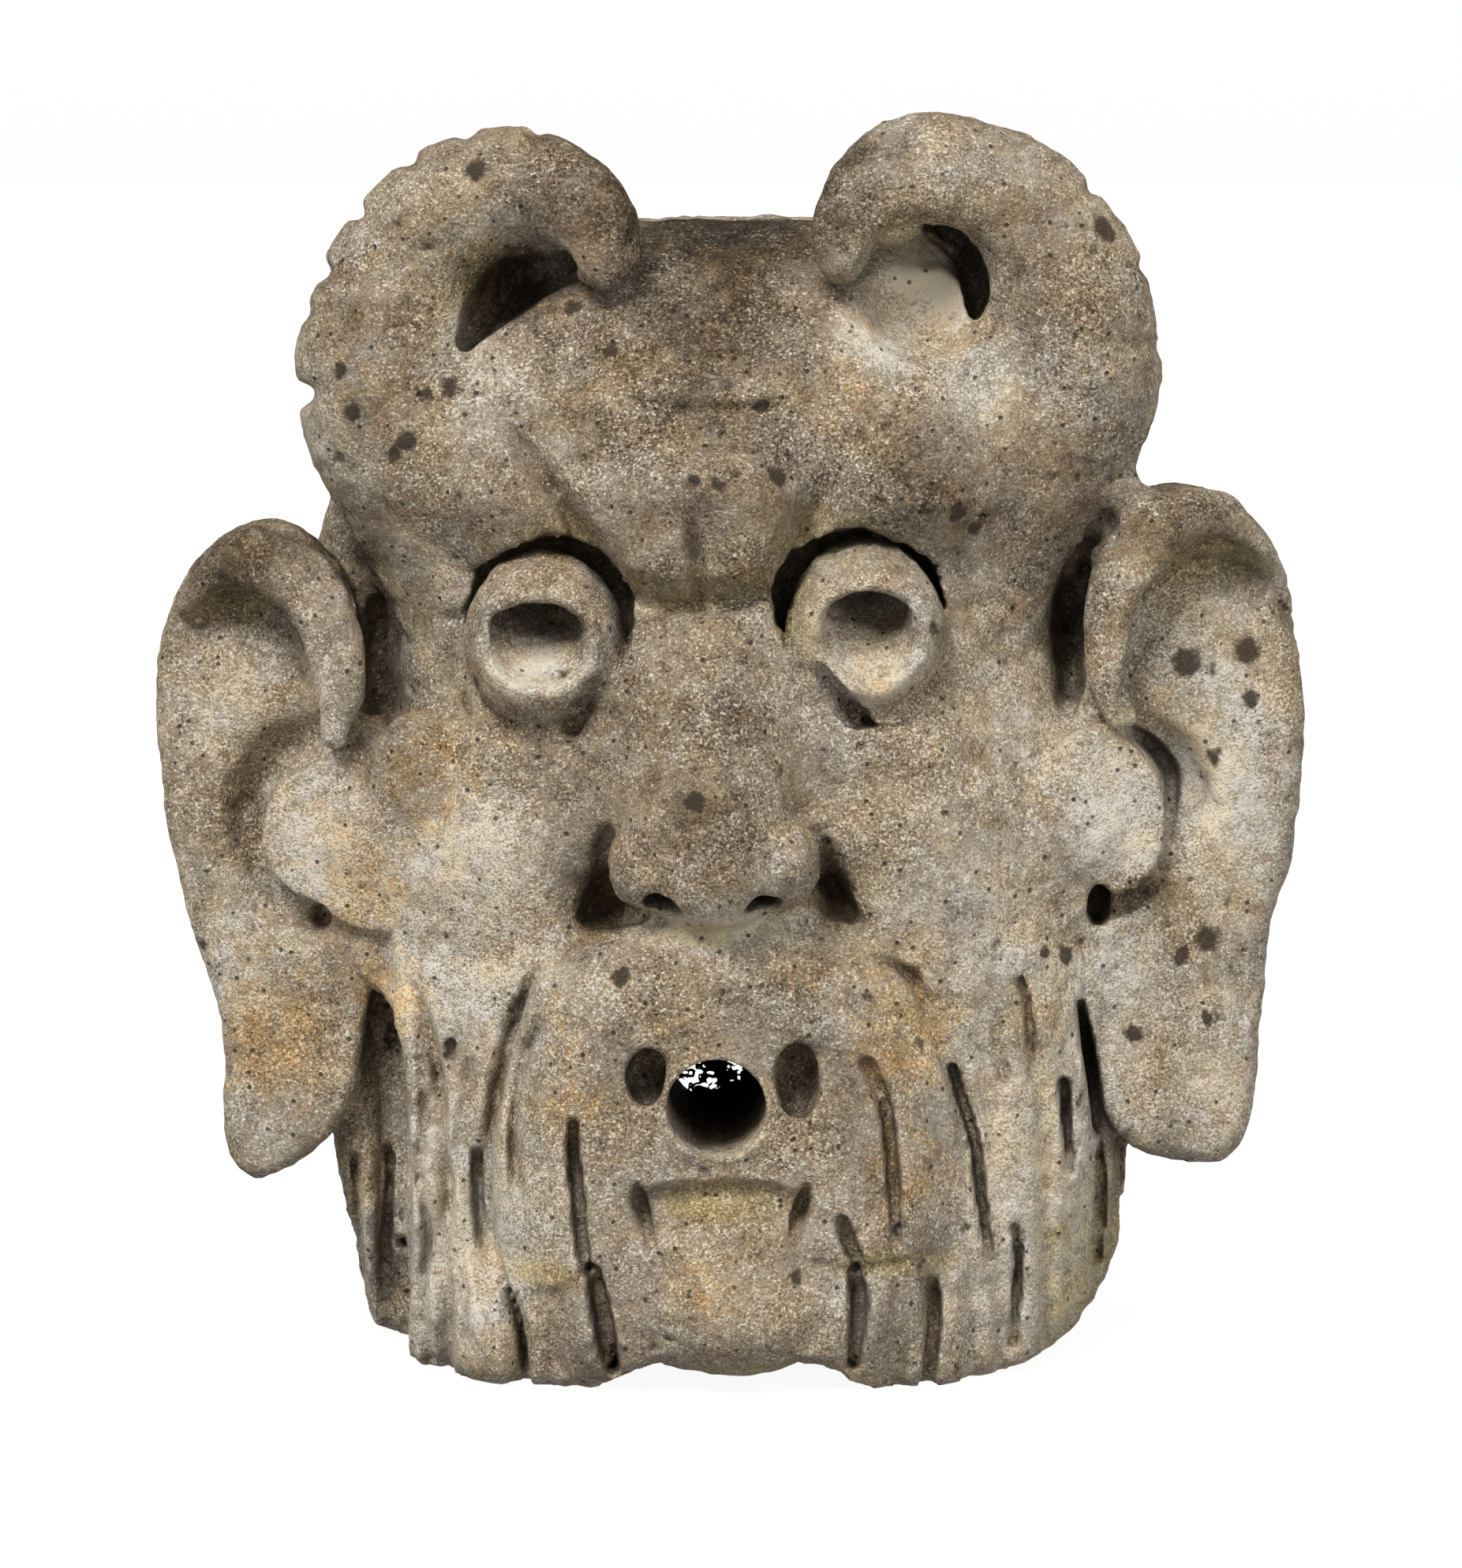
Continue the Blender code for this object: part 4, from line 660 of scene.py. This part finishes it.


# Stains on the front, and patches of painted shade and painted light: strength, then x, z and the radii
# across and up, in parts.
# Where two more values follow, they are y and the radius in depth, and the patch ends there.
STAINS_LIGHT_AND_SHADE = {
    "dark_stain_and_shade": (
        # Among these, the patches in the left horn's pocket, in the hollows beside the nose and in the right
        # ear's trench are painted shade over dirt
        (1.6, 166, 190, 24, 11, -46, 30), (2.0, -85, 432, 32, 28, -40, 44),
        (1.6, -43, 188, 18, 22, -76, 24), (1.2, 43, 194, 16, 22, -76, 24), (1.0, 84, 358, 58, 42),
        (0.5, -121, 239, 34, 30), (0.35, -198, 215, 26, 44), (2.0, -5, 462, 92, 46), (2.0, -5, 486, 96, 24),
        (1.1, -5, 420, 100, 50), (0.7, -8, 380, 100, 40), (0.7, -8, 345, 56, 48), (0.4, -90, 345, 60, 40),
        (0.65, -6, 255, 36, 90), (1.0, -190, 325, 44, 26), (0.7, 180, 338, 50, 26),
        (0.1, -120, 430, 70, 80), (0.25, 120, 440, 76, 80), (0.3, 0, 92, 50, 12), (0.1, -60, 30, 44, 46),
        (0.2, -40, 120, 50, 50), (0.25, 40, 110, 40, 40), (0.35, -128, 320, 26, 50),
        (0.3, 140, 330, 30, 60), (0.5, 100, 360, 60, 50), (0.25, -165, 50, 16, 90), (0.3, 10, 30, 50, 40),
        (0.4, 45, 55, 60, 16),
    ),
    "ochre_stain": (
        (0.9, -118, 238, 50, 56), (0.9, -135, 150, 60, 50), (1.0, 68, 140, 50, 60), (0.8, 40, 165, 60, 20),
        (1.0, -180, 130, 50, 70), (0.8, -10, 46, 50, 40), (0.8, -62, 120, 40, 70), (0.9, -146, 190, 50, 70),
        (0.6, 150, 390, 60, 70), (0.7, -30, 152, 76, 30), (0.7, -150, 400, 70, 80), (0.7, 55, 390, 40, 44),
        (1.0, -72, 272, 26, 10), (0.8, 64, 276, 22, 10), (0.8, 70, 90, 50, 60), (0.6, -90, 270, 60, 40),
        (0.5, 100, 250, 50, 80), (0.4, -100, 60, 60, 90), (0.7, 90, 350, 60, 50),
    ),
    "pale_stain_and_light": (
        # Among these, the patches under the nose, on the right horn's slope and low on the right side are
        # painted light on stone that lies in shade; those on the eyes' bowl floors are partly pale stone,
        # partly painted light
        (1.3, -74, 284, 30, 20), (0.7, 57, 286, 34, 26), (0.6, 38, 300, 16, 24), (1.4, -160, 215, 36, 44),
        (1.3, 160, 225, 36, 48), (0.8, -195, 262, 40, 44), (1.2, 200, 250, 40, 90), (2.0, 82, 432, 34, 32),
        (1.4, 66, 416, 38, 26), (1.3, 152, 60, 36, 80, -70, 60), (0.4, 0, 30, 44, 30),
        (0.6, 100, 395, 26, 40), (0.6, 104, 190, 50, 90), (1.0, 128, 70, 56, 110), (1.0, 150, 140, 50, 80),
        (0.9, -105, 60, 44, 90), (0.9, -110, 190, 60, 90), (0.4, -100, 400, 40, 40),
        (0.6, 200, 120, 40, 60), (1.5, 0, 183, 56, 13), (0.4, 120, 250, 50, 60), (0.4, -195, 180, 40, 80),
    ),
    "green_stain": (
        (1.0, -62, 332, 50, 16), (1.2, 40, 338, 44, 24), (1.0, 30, 304, 20, 40), (1.2, -8, 316, 56, 16),
        (1.0, -195, 306, 36, 14), (1.2, 195, 322, 44, 18), (1.6, 0, 76, 46, 13), (1.2, 74, 452, 34, 22),
        (1.2, -95, 436, 34, 26), (1.2, 150, 30, 44, 60), (0.4, 130, 90, 50, 90), (1.2, -70, 46, 36, 10),
        (1.2, 70, 52, 46, 10), (0.8, -50, 190, 22, 34), (0.8, 48, 190, 22, 34), (1.1, 0, 182, 44, 12),
        (0.5, 100, 150, 50, 30), (1.0, 20, 8, 60, 12), (0.8, -160, 60, 24, 70), (0.7, 160, 262, 30, 30),
    ),
}


def lay_stains_and_shade(made, stone):
    """Soft measures for the material, kept on the points: hollows and deep crevices, which the material
    darkens as painted shade, the spout's bore, painted near black as shade, and where stains and patches of
    painted shade and light lie.
    """
    mesh = made.data
    places = vectors(mesh.vertices, "co") / PART
    solid = (stone.field[::2, ::2, ::2] < 0).astype(np.float32)
    cells = (places - stone.low.astype(np.float32)) / (2 * stone.step)
    near = sampled(blurred(solid, 1), cells)
    closed = enclosed(stone, places, vectors(mesh.vertex_normals, "vector"))
    x, y, z = places.T
    out = np.hypot(x - SPOUT_X / PART, z - SPOUT_HEIGHT / PART)
    measures = {
        # hollow and deep become painted shade in the material, with some dirt; bore becomes painted shade,
        # near black
        "hollow": ease((near - 0.5) / 0.3),
        "ridge": ease((0.5 - near) / 0.3),
        "deep": ease((closed - 0.56) / 0.38),
        "bore": ease((25 - out) / 3) * ease((y + 116) / 8),
        "block_side": ease((y + 20) / 15) * ease((-100 - x) / 20) * ease((150 - z) / 60),
    }
    for name, spots in STAINS_LIGHT_AND_SHADE.items():
        total = np.zeros(len(places))
        for strength, cx, cz, across, up, *deep in spots:
            total = np.maximum(total, strength * patch(places, (cx, cz, *deep[:1]), (across, up, *deep[1:])))
        measures[name] = total * ease((40 - y) / 30)
    for name, values in measures.items():
        layer = mesh.attributes.new(name, "FLOAT", "POINT")
        layer.data.foreach_set("value", np.clip(values, 0, 2).astype(np.float32))


class Nodes:
    """Short ways to set out a material's nodes."""

    def __init__(self, tree):
        self.tree = tree
        tree.nodes.clear()

    def add(self, kind, inputs=None, **settings):
        node = self.tree.nodes.new(kind)
        for name, value in settings.items():
            setattr(node, name, value)
        for socket, value in (inputs or {}).items():
            self.put(node.inputs[socket], value)
        return node

    def put(self, socket, value):
        if isinstance(value, bpy.types.NodeSocket):
            self.tree.links.new(value, socket)
        else:
            socket.default_value = value

    def math(self, kind, a, b=0.0):
        return self.add("ShaderNodeMath", {0: a, 1: b}, operation=kind).outputs[0]

    def total(self, *terms):
        """The sum of values, each with its weight."""
        added = 0.0
        for value, weight in terms:
            term = self.add("ShaderNodeMath", {0: value, 1: weight, 2: added}, operation="MULTIPLY_ADD")
            added = term.outputs[0]
        return added

    def times(self, a, b):
        return self.math("MULTIPLY", a, b)

    def chance(self, cells):
        """A random value for each cell."""
        return self.add("ShaderNodeSeparateColor", {0: cells["Color"]}).outputs[0]

    def scaled(self, value, low, high, to_low=0.0, to_high=1.0):
        """Value taken from one range to another with soft ends, and kept within it."""
        inputs = {"Value": value, "From Min": low, "From Max": high, "To Min": to_low, "To Max": to_high}
        return self.add("ShaderNodeMapRange", inputs, interpolation_type="SMOOTHSTEP").outputs[0]

    def noise(self, where, scale, detail=3.0, rough=0.55):
        inputs = {"Vector": where, "Scale": scale, "Detail": detail, "Roughness": rough}
        return self.add("ShaderNodeTexNoise", inputs).outputs["Fac"]

    def cells(self, where, scale, kind="F1"):
        return self.add("ShaderNodeTexVoronoi", {"Vector": where, "Scale": scale}, feature=kind).outputs

    def shaken(self, where, scale, reach):
        """Places moved about a little, which makes edges ragged."""
        noise = self.add("ShaderNodeTexNoise", {"Vector": where, "Scale": scale, "Detail": 3.0})
        move = self.vector("SUBTRACT", {0: noise.outputs["Color"], 1: (0.5, 0.5, 0.5)})[0]
        move = self.vector("SCALE", {0: move, "Scale": reach})[0]
        return self.vector("ADD", {0: where, 1: move})[0]

    def vector(self, kind, inputs):
        return self.add("ShaderNodeVectorMath", inputs, operation=kind).outputs

    def up(self, vector):
        return self.add("ShaderNodeSeparateXYZ", {0: vector}).outputs[2]

    def measure(self, name):
        return self.add("ShaderNodeAttribute", attribute_name=name).outputs["Fac"]

    def mix(self, share, a, b, blend="MIX"):
        node = self.add("ShaderNodeMix", data_type="RGBA", blend_type=blend, clamp_factor=True)
        self.put(node.inputs["Factor"], share)
        for socket, value in ((node.inputs[6], a), (node.inputs[7], b)):
            self.put(socket, value if isinstance(value, bpy.types.NodeSocket) else (*value, 1))
        return node.outputs[2]

    def ramp(self, value, stops):
        """Colours along a value, from pairs of place and colour."""
        node = self.add("ShaderNodeValToRGB", {"Fac": value})
        points = node.color_ramp.elements
        while len(points) < len(stops):
            points.new(1.0)
        for point, (place, colour) in zip(points, stops):
            point.position = place
            point.color = (*colour, 1)
        return node.outputs[0]


def shade(red, green, blue):
    """A colour given as it looks on screen, in steps of 255, as linear light."""
    return tuple(((c / 255 + 0.055) / 1.055) ** 2.4 for c in (red, green, blue))


# Dark brown for dirt and painted shade, laid in crevices and small holes
GRIME_AND_SHADE = shade(46, 38, 28)
BASE_TONE = -0.225  # lifts or lowers the stone's colours as a whole

# Lichen spots: pixel across, pixel down and radius in mm
LICHEN_SPOTS = (
    (570, 490, 5), (515, 560, 6), (605, 215, 6), (447, 522, 5), (725, 390, 4), (775, 445, 4), (965, 515, 4),
    (985, 605, 5), (880, 1017, 5), (785, 1238, 5), (1505, 840, 8), (1580, 825, 7), (1585, 885, 4),
    (1530, 1190, 7), (1497, 1212, 5), (1350, 1210, 6), (1437, 1310, 5), (1530, 1290, 4), (1400, 290, 8),
    (1215, 650, 5), (1235, 668, 4), (540, 500, 4), (500, 575, 4), (430, 470, 4), (1325, 1208, 3),
    (880, 610, 3),
)


def spot_places(made):
    """Lichen spots laid on the stone where they're seen from the front."""
    mesh = made.data
    tree = BVHTree.FromPolygons([v.co for v in mesh.vertices], [p.vertices for p in mesh.polygons])
    eye, forward, up = view_line()
    found = []
    for u, v, size in LICHEN_SPOTS:
        ray = forward + (Vector((1, 0, 0)) * (u - PHOTO_WIDE / 2) + up * (PHOTO_TALL / 2 - v)) * (
            SENSOR / LENS / PHOTO_TALL)
        place = tree.ray_cast(eye, ray.normalized())[0]
        if place:
            found.append((place, size * MM))
    return found


def stone_material(spots):
    """Weathered limestone: sandy and speckled, grimed above, green in the creases, with lichens.
    Shade is painted into its crevices, holes and bore, and light onto a few faces that lie in shade.
    """
    material = bpy.data.materials.new("weathered limestone")
    material.use_nodes = True
    n = Nodes(material.node_tree)
    where = n.add("ShaderNodeTexCoord").outputs["Object"]
    facing = n.up(n.add("ShaderNodeNewGeometry").outputs["Normal"])
    hollow, ridge, deep = n.measure("hollow"), n.measure("ridge"), n.measure("deep")
    dark, pale = n.measure("dark_stain_and_shade"), n.measure("pale_stain_and_light")
    ochre, green = n.measure("ochre_stain"), n.measure("green_stain")
    clouds = n.noise(where, 17, 5, 0.6)
    blotches = n.noise(where, 60, 5, 0.65)
    mottle = n.noise(where, 170, 4, 0.7)
    sand = n.noise(where, 950, 3, 0.75)
    grains = n.cells(where, 1150)
    grain = n.chance(grains)

    ragged = n.shaken(where, 230, 0.007)
    spotted = 0.0
    for place, size in spots:
        away = n.vector("DISTANCE", {0: ragged, 1: tuple(place)})[1]
        spotted = n.math("MAXIMUM", spotted, n.scaled(away, size, size * 0.5))
    scattered = n.cells(ragged, 34)
    kept = n.chance(scattered)
    scattered = n.times(n.scaled(scattered["Distance"], 0.15, 0.06), n.scaled(kept, 0.62, 0.66))
    spotted = n.math("MAXIMUM", spotted, scattered)

    patches = n.scaled(n.noise(ragged, 66, 6, 0.72), 0.515, 0.575)
    uneven = n.scaled(n.noise(where, 31, 4, 0.65), 0.36, 0.64, 0.5, 1.05)
    coarse = n.times(n.scaled(pale, 0.6, 1.6, 1.0, 0.72), uneven)
    bright = n.scaled(grain, 0.86, 1.0)
    speckle = n.times(n.total((sand, 1.7), (grain, 0.34), (bright, 0.3), (1.0, -1.045)), coarse)
    # In the tone, hollow darkens concave places as painted shade with some dirt, and ridge makes convex ones
    # a little lighter; dark and pale carry the dark and pale stains with their patches of painted shade and
    # painted light
    tone = n.total((speckle, 1.0), (mottle, 0.6), (blotches, 0.5), (clouds, 0.7), (dark, -0.28),
                   (pale, 0.26), (facing, -0.03), (spotted, -0.12), (patches, -0.09), (ridge, 0.06),
                   (hollow, -0.08), (1.0, BASE_TONE))
    colour = n.ramp(tone, ((0.0, shade(52, 44, 34)), (0.26, shade(96, 83, 67)), (0.5, shade(148, 133, 113)),
                           (0.74, shade(188, 175, 155)), (1.0, shade(240, 233, 220))))
    for scale, low, high, most, tint in ((38, 0.42, 0.6, 0.8, (0.96, 0.99, 1.05)),
                                         (29, 0.42, 0.62, 1.0, (1.06, 0.98, 0.84)),
                                         (52, 0.5, 0.64, 0.8, (1.0, 0.92, 0.86))):
        share = n.scaled(n.noise(where, scale, 5, 0.7), low, high, 0, most)
        colour = n.mix(share, colour, tint, "MULTIPLY")

    def laid(colour, measure, noise, low, high, tint, most):
        """A stain where its measure and the noise together pass a level."""
        share = n.scaled(n.total((measure, 1.0), (noise, 3.0)), low, high, 0, most)
        return n.mix(share, colour, tint, "MULTIPLY")

    rust = n.total((n.noise(where, 90, 5, 0.75), 0.55), (n.noise(where, 600, 3, 0.7), 0.45))
    colour = laid(colour, n.math("MAXIMUM", ochre, 0.4), rust, 2.1, 2.6, (1.2, 0.97, 0.64), 0.8)
    colour = laid(colour, green, blotches, 1.7, 2.8, (0.86, 0.82, 0.58), 0.8)
    colour = n.mix(n.times(spotted, 0.92), colour, shade(70, 59, 48))
    # Painted shade, with some dirt: the more closely stone shuts a point in, the darker it is painted
    colour = n.mix(n.times(deep, 0.72), colour, GRIME_AND_SHADE)
    # Painted shade: the spout's bore and the lime caked in it are painted near black
    colour = n.mix(n.times(n.measure("bore"), 0.95), colour, shade(16, 14, 11))

    # Pinholes: small dots painted dark, with a slight dent; this is painted shade in small holes, with dirt
    holes = n.cells(where, 170)
    pinholes = n.scaled(holes["Distance"], 0.2, 0.1)
    kept = n.chance(holes)
    pinholes = n.times(pinholes, n.scaled(kept, 0.55, 0.6))
    colour = n.mix(n.times(pinholes, 0.8), colour, GRIME_AND_SHADE)

    cracks = n.times(n.scaled(n.cells(ragged, 130, "DISTANCE_TO_EDGE")["Distance"], 0.1, 0.0),
                    n.measure("block_side"))
    colour = n.mix(n.times(cracks, 0.5), colour, shade(70, 60, 46))

    height = n.total((sand, 0.0016), (mottle, 0.0022), (grain, 0.00012), (pinholes, -0.0012),
                     (cracks, -0.0008))
    bump = n.add("ShaderNodeBump", {"Strength": 1.0, "Distance": 1.0, "Height": height})
    shader = n.add("ShaderNodeBsdfPrincipled", {"Base Color": colour, "Normal": bump.outputs[0]})
    shader.inputs["Roughness"].default_value = 0.93
    shader.inputs["Specular IOR Level"].default_value = 0.2
    n.add("ShaderNodeOutputMaterial", {"Surface": shader.outputs[0]})
    return material


# The photograph's view
PHOTO_WIDE, PHOTO_TALL = 1853, 1988
SENSOR, LENS = 36, 147.13
MM = 0.001
CAMERA_AIM = (0.0037, 0, 0.229)
CAMERA_AWAY = 2.6
CAMERA_TILT = math.radians(6)
MASK_MIDDLE = (0, 0, 0.24)


def view_line():
    """The camera's place, the way it looks, and its up."""
    c, s = math.cos(CAMERA_TILT), math.sin(CAMERA_TILT)
    return Vector(CAMERA_AIM) + CAMERA_AWAY * Vector((0, -c, s)), Vector((0, c, -s)), Vector((0, s, c))


def linked(name, data):
    """An object in the scene from its data."""
    made = bpy.data.objects.new(name, data)
    bpy.context.scene.collection.objects.link(made)
    return made


def lamp(name, kind, place, **settings):
    """A lamp in its place, turned to the mask's middle."""
    made = linked(name, bpy.data.lights.new(name, kind))
    for setting, value in settings.items():
        setattr(made.data, setting, value)
    made.location = place
    made.rotation_euler = (Vector(MASK_MIDDLE) - made.location).to_track_quat("-Z", "Y").to_euler()


def plain_material(name, colour, glow):
    """One colour all over, with a glow of its own."""
    material = bpy.data.materials.new(name)
    material.use_nodes = True
    shader = material.node_tree.nodes["Principled BSDF"]
    shader.inputs["Base Color"].default_value = (*colour, 1)
    shader.inputs["Roughness"].default_value = 0.9
    shader.inputs["Emission Color"].default_value = (1, 1, 1, 1)
    shader.inputs["Emission Strength"].default_value = glow
    return material


def studio():
    """A plain pale floor under soft light from above, a little from the left."""
    bpy.ops.mesh.primitive_plane_add(size=80)
    floor = bpy.context.object
    floor.name = "floor"
    floor.data.materials.append(plain_material("pale floor", colour=(0.2, 0.2, 0.2), glow=0.92))
    floor.visible_diffuse = False
    lamp("key", "SUN", (-0.8, -1.6, 2.3), energy=3.0, angle=math.radians(24), color=(1, 0.985, 0.96))
    lamp("fill", "AREA", (1.6, -2.0, 1.0), energy=17, size=1.6)
    world = bpy.data.worlds.new("soft room")
    world.use_nodes = True
    n = Nodes(world.node_tree)
    height = n.up(n.add("ShaderNodeTexCoord").outputs["Generated"])
    band = n.scaled(n.math("ABSOLUTE", height), 0.14, 0.06, 0, 0.75)
    room = n.math("ADD", band, n.scaled(height, -0.3, 0.5, 0.2, 0.34))
    n.add("ShaderNodeOutputWorld", {"Surface": n.add("ShaderNodeBackground", {
        "Color": (1, 1, 1, 1), "Strength": room}).outputs[0]})
    bpy.context.scene.world = world
    bpy.context.scene.view_settings.view_transform = "Standard"


def camera():
    data = bpy.data.cameras.new("camera")
    data.sensor_width = SENSOR
    data.lens = LENS
    made = linked("camera", data)
    made.location = view_line()[0]
    made.rotation_euler = (math.pi / 2 - CAMERA_TILT, 0, 0)
    bpy.context.scene.camera = made


def main():
    camera()
    studio()
    stone = carve()
    weather(stone)
    cut_flat(stone)
    mask = stone_mesh(stone, "weathered_stone_mask", FACES)
    caked = stone_mesh(crust(), "caked_lime", CRUST_FACES)
    with bpy.context.temp_override(active_object=mask, selected_editable_objects=[mask, caked]):
        bpy.ops.object.join()
    lay_stains_and_shade(mask, stone)
    mask.data.materials.clear()
    mask.data.materials.append(stone_material(spot_places(mask)))
    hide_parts(NODE)
    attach(mask, "root")


main()
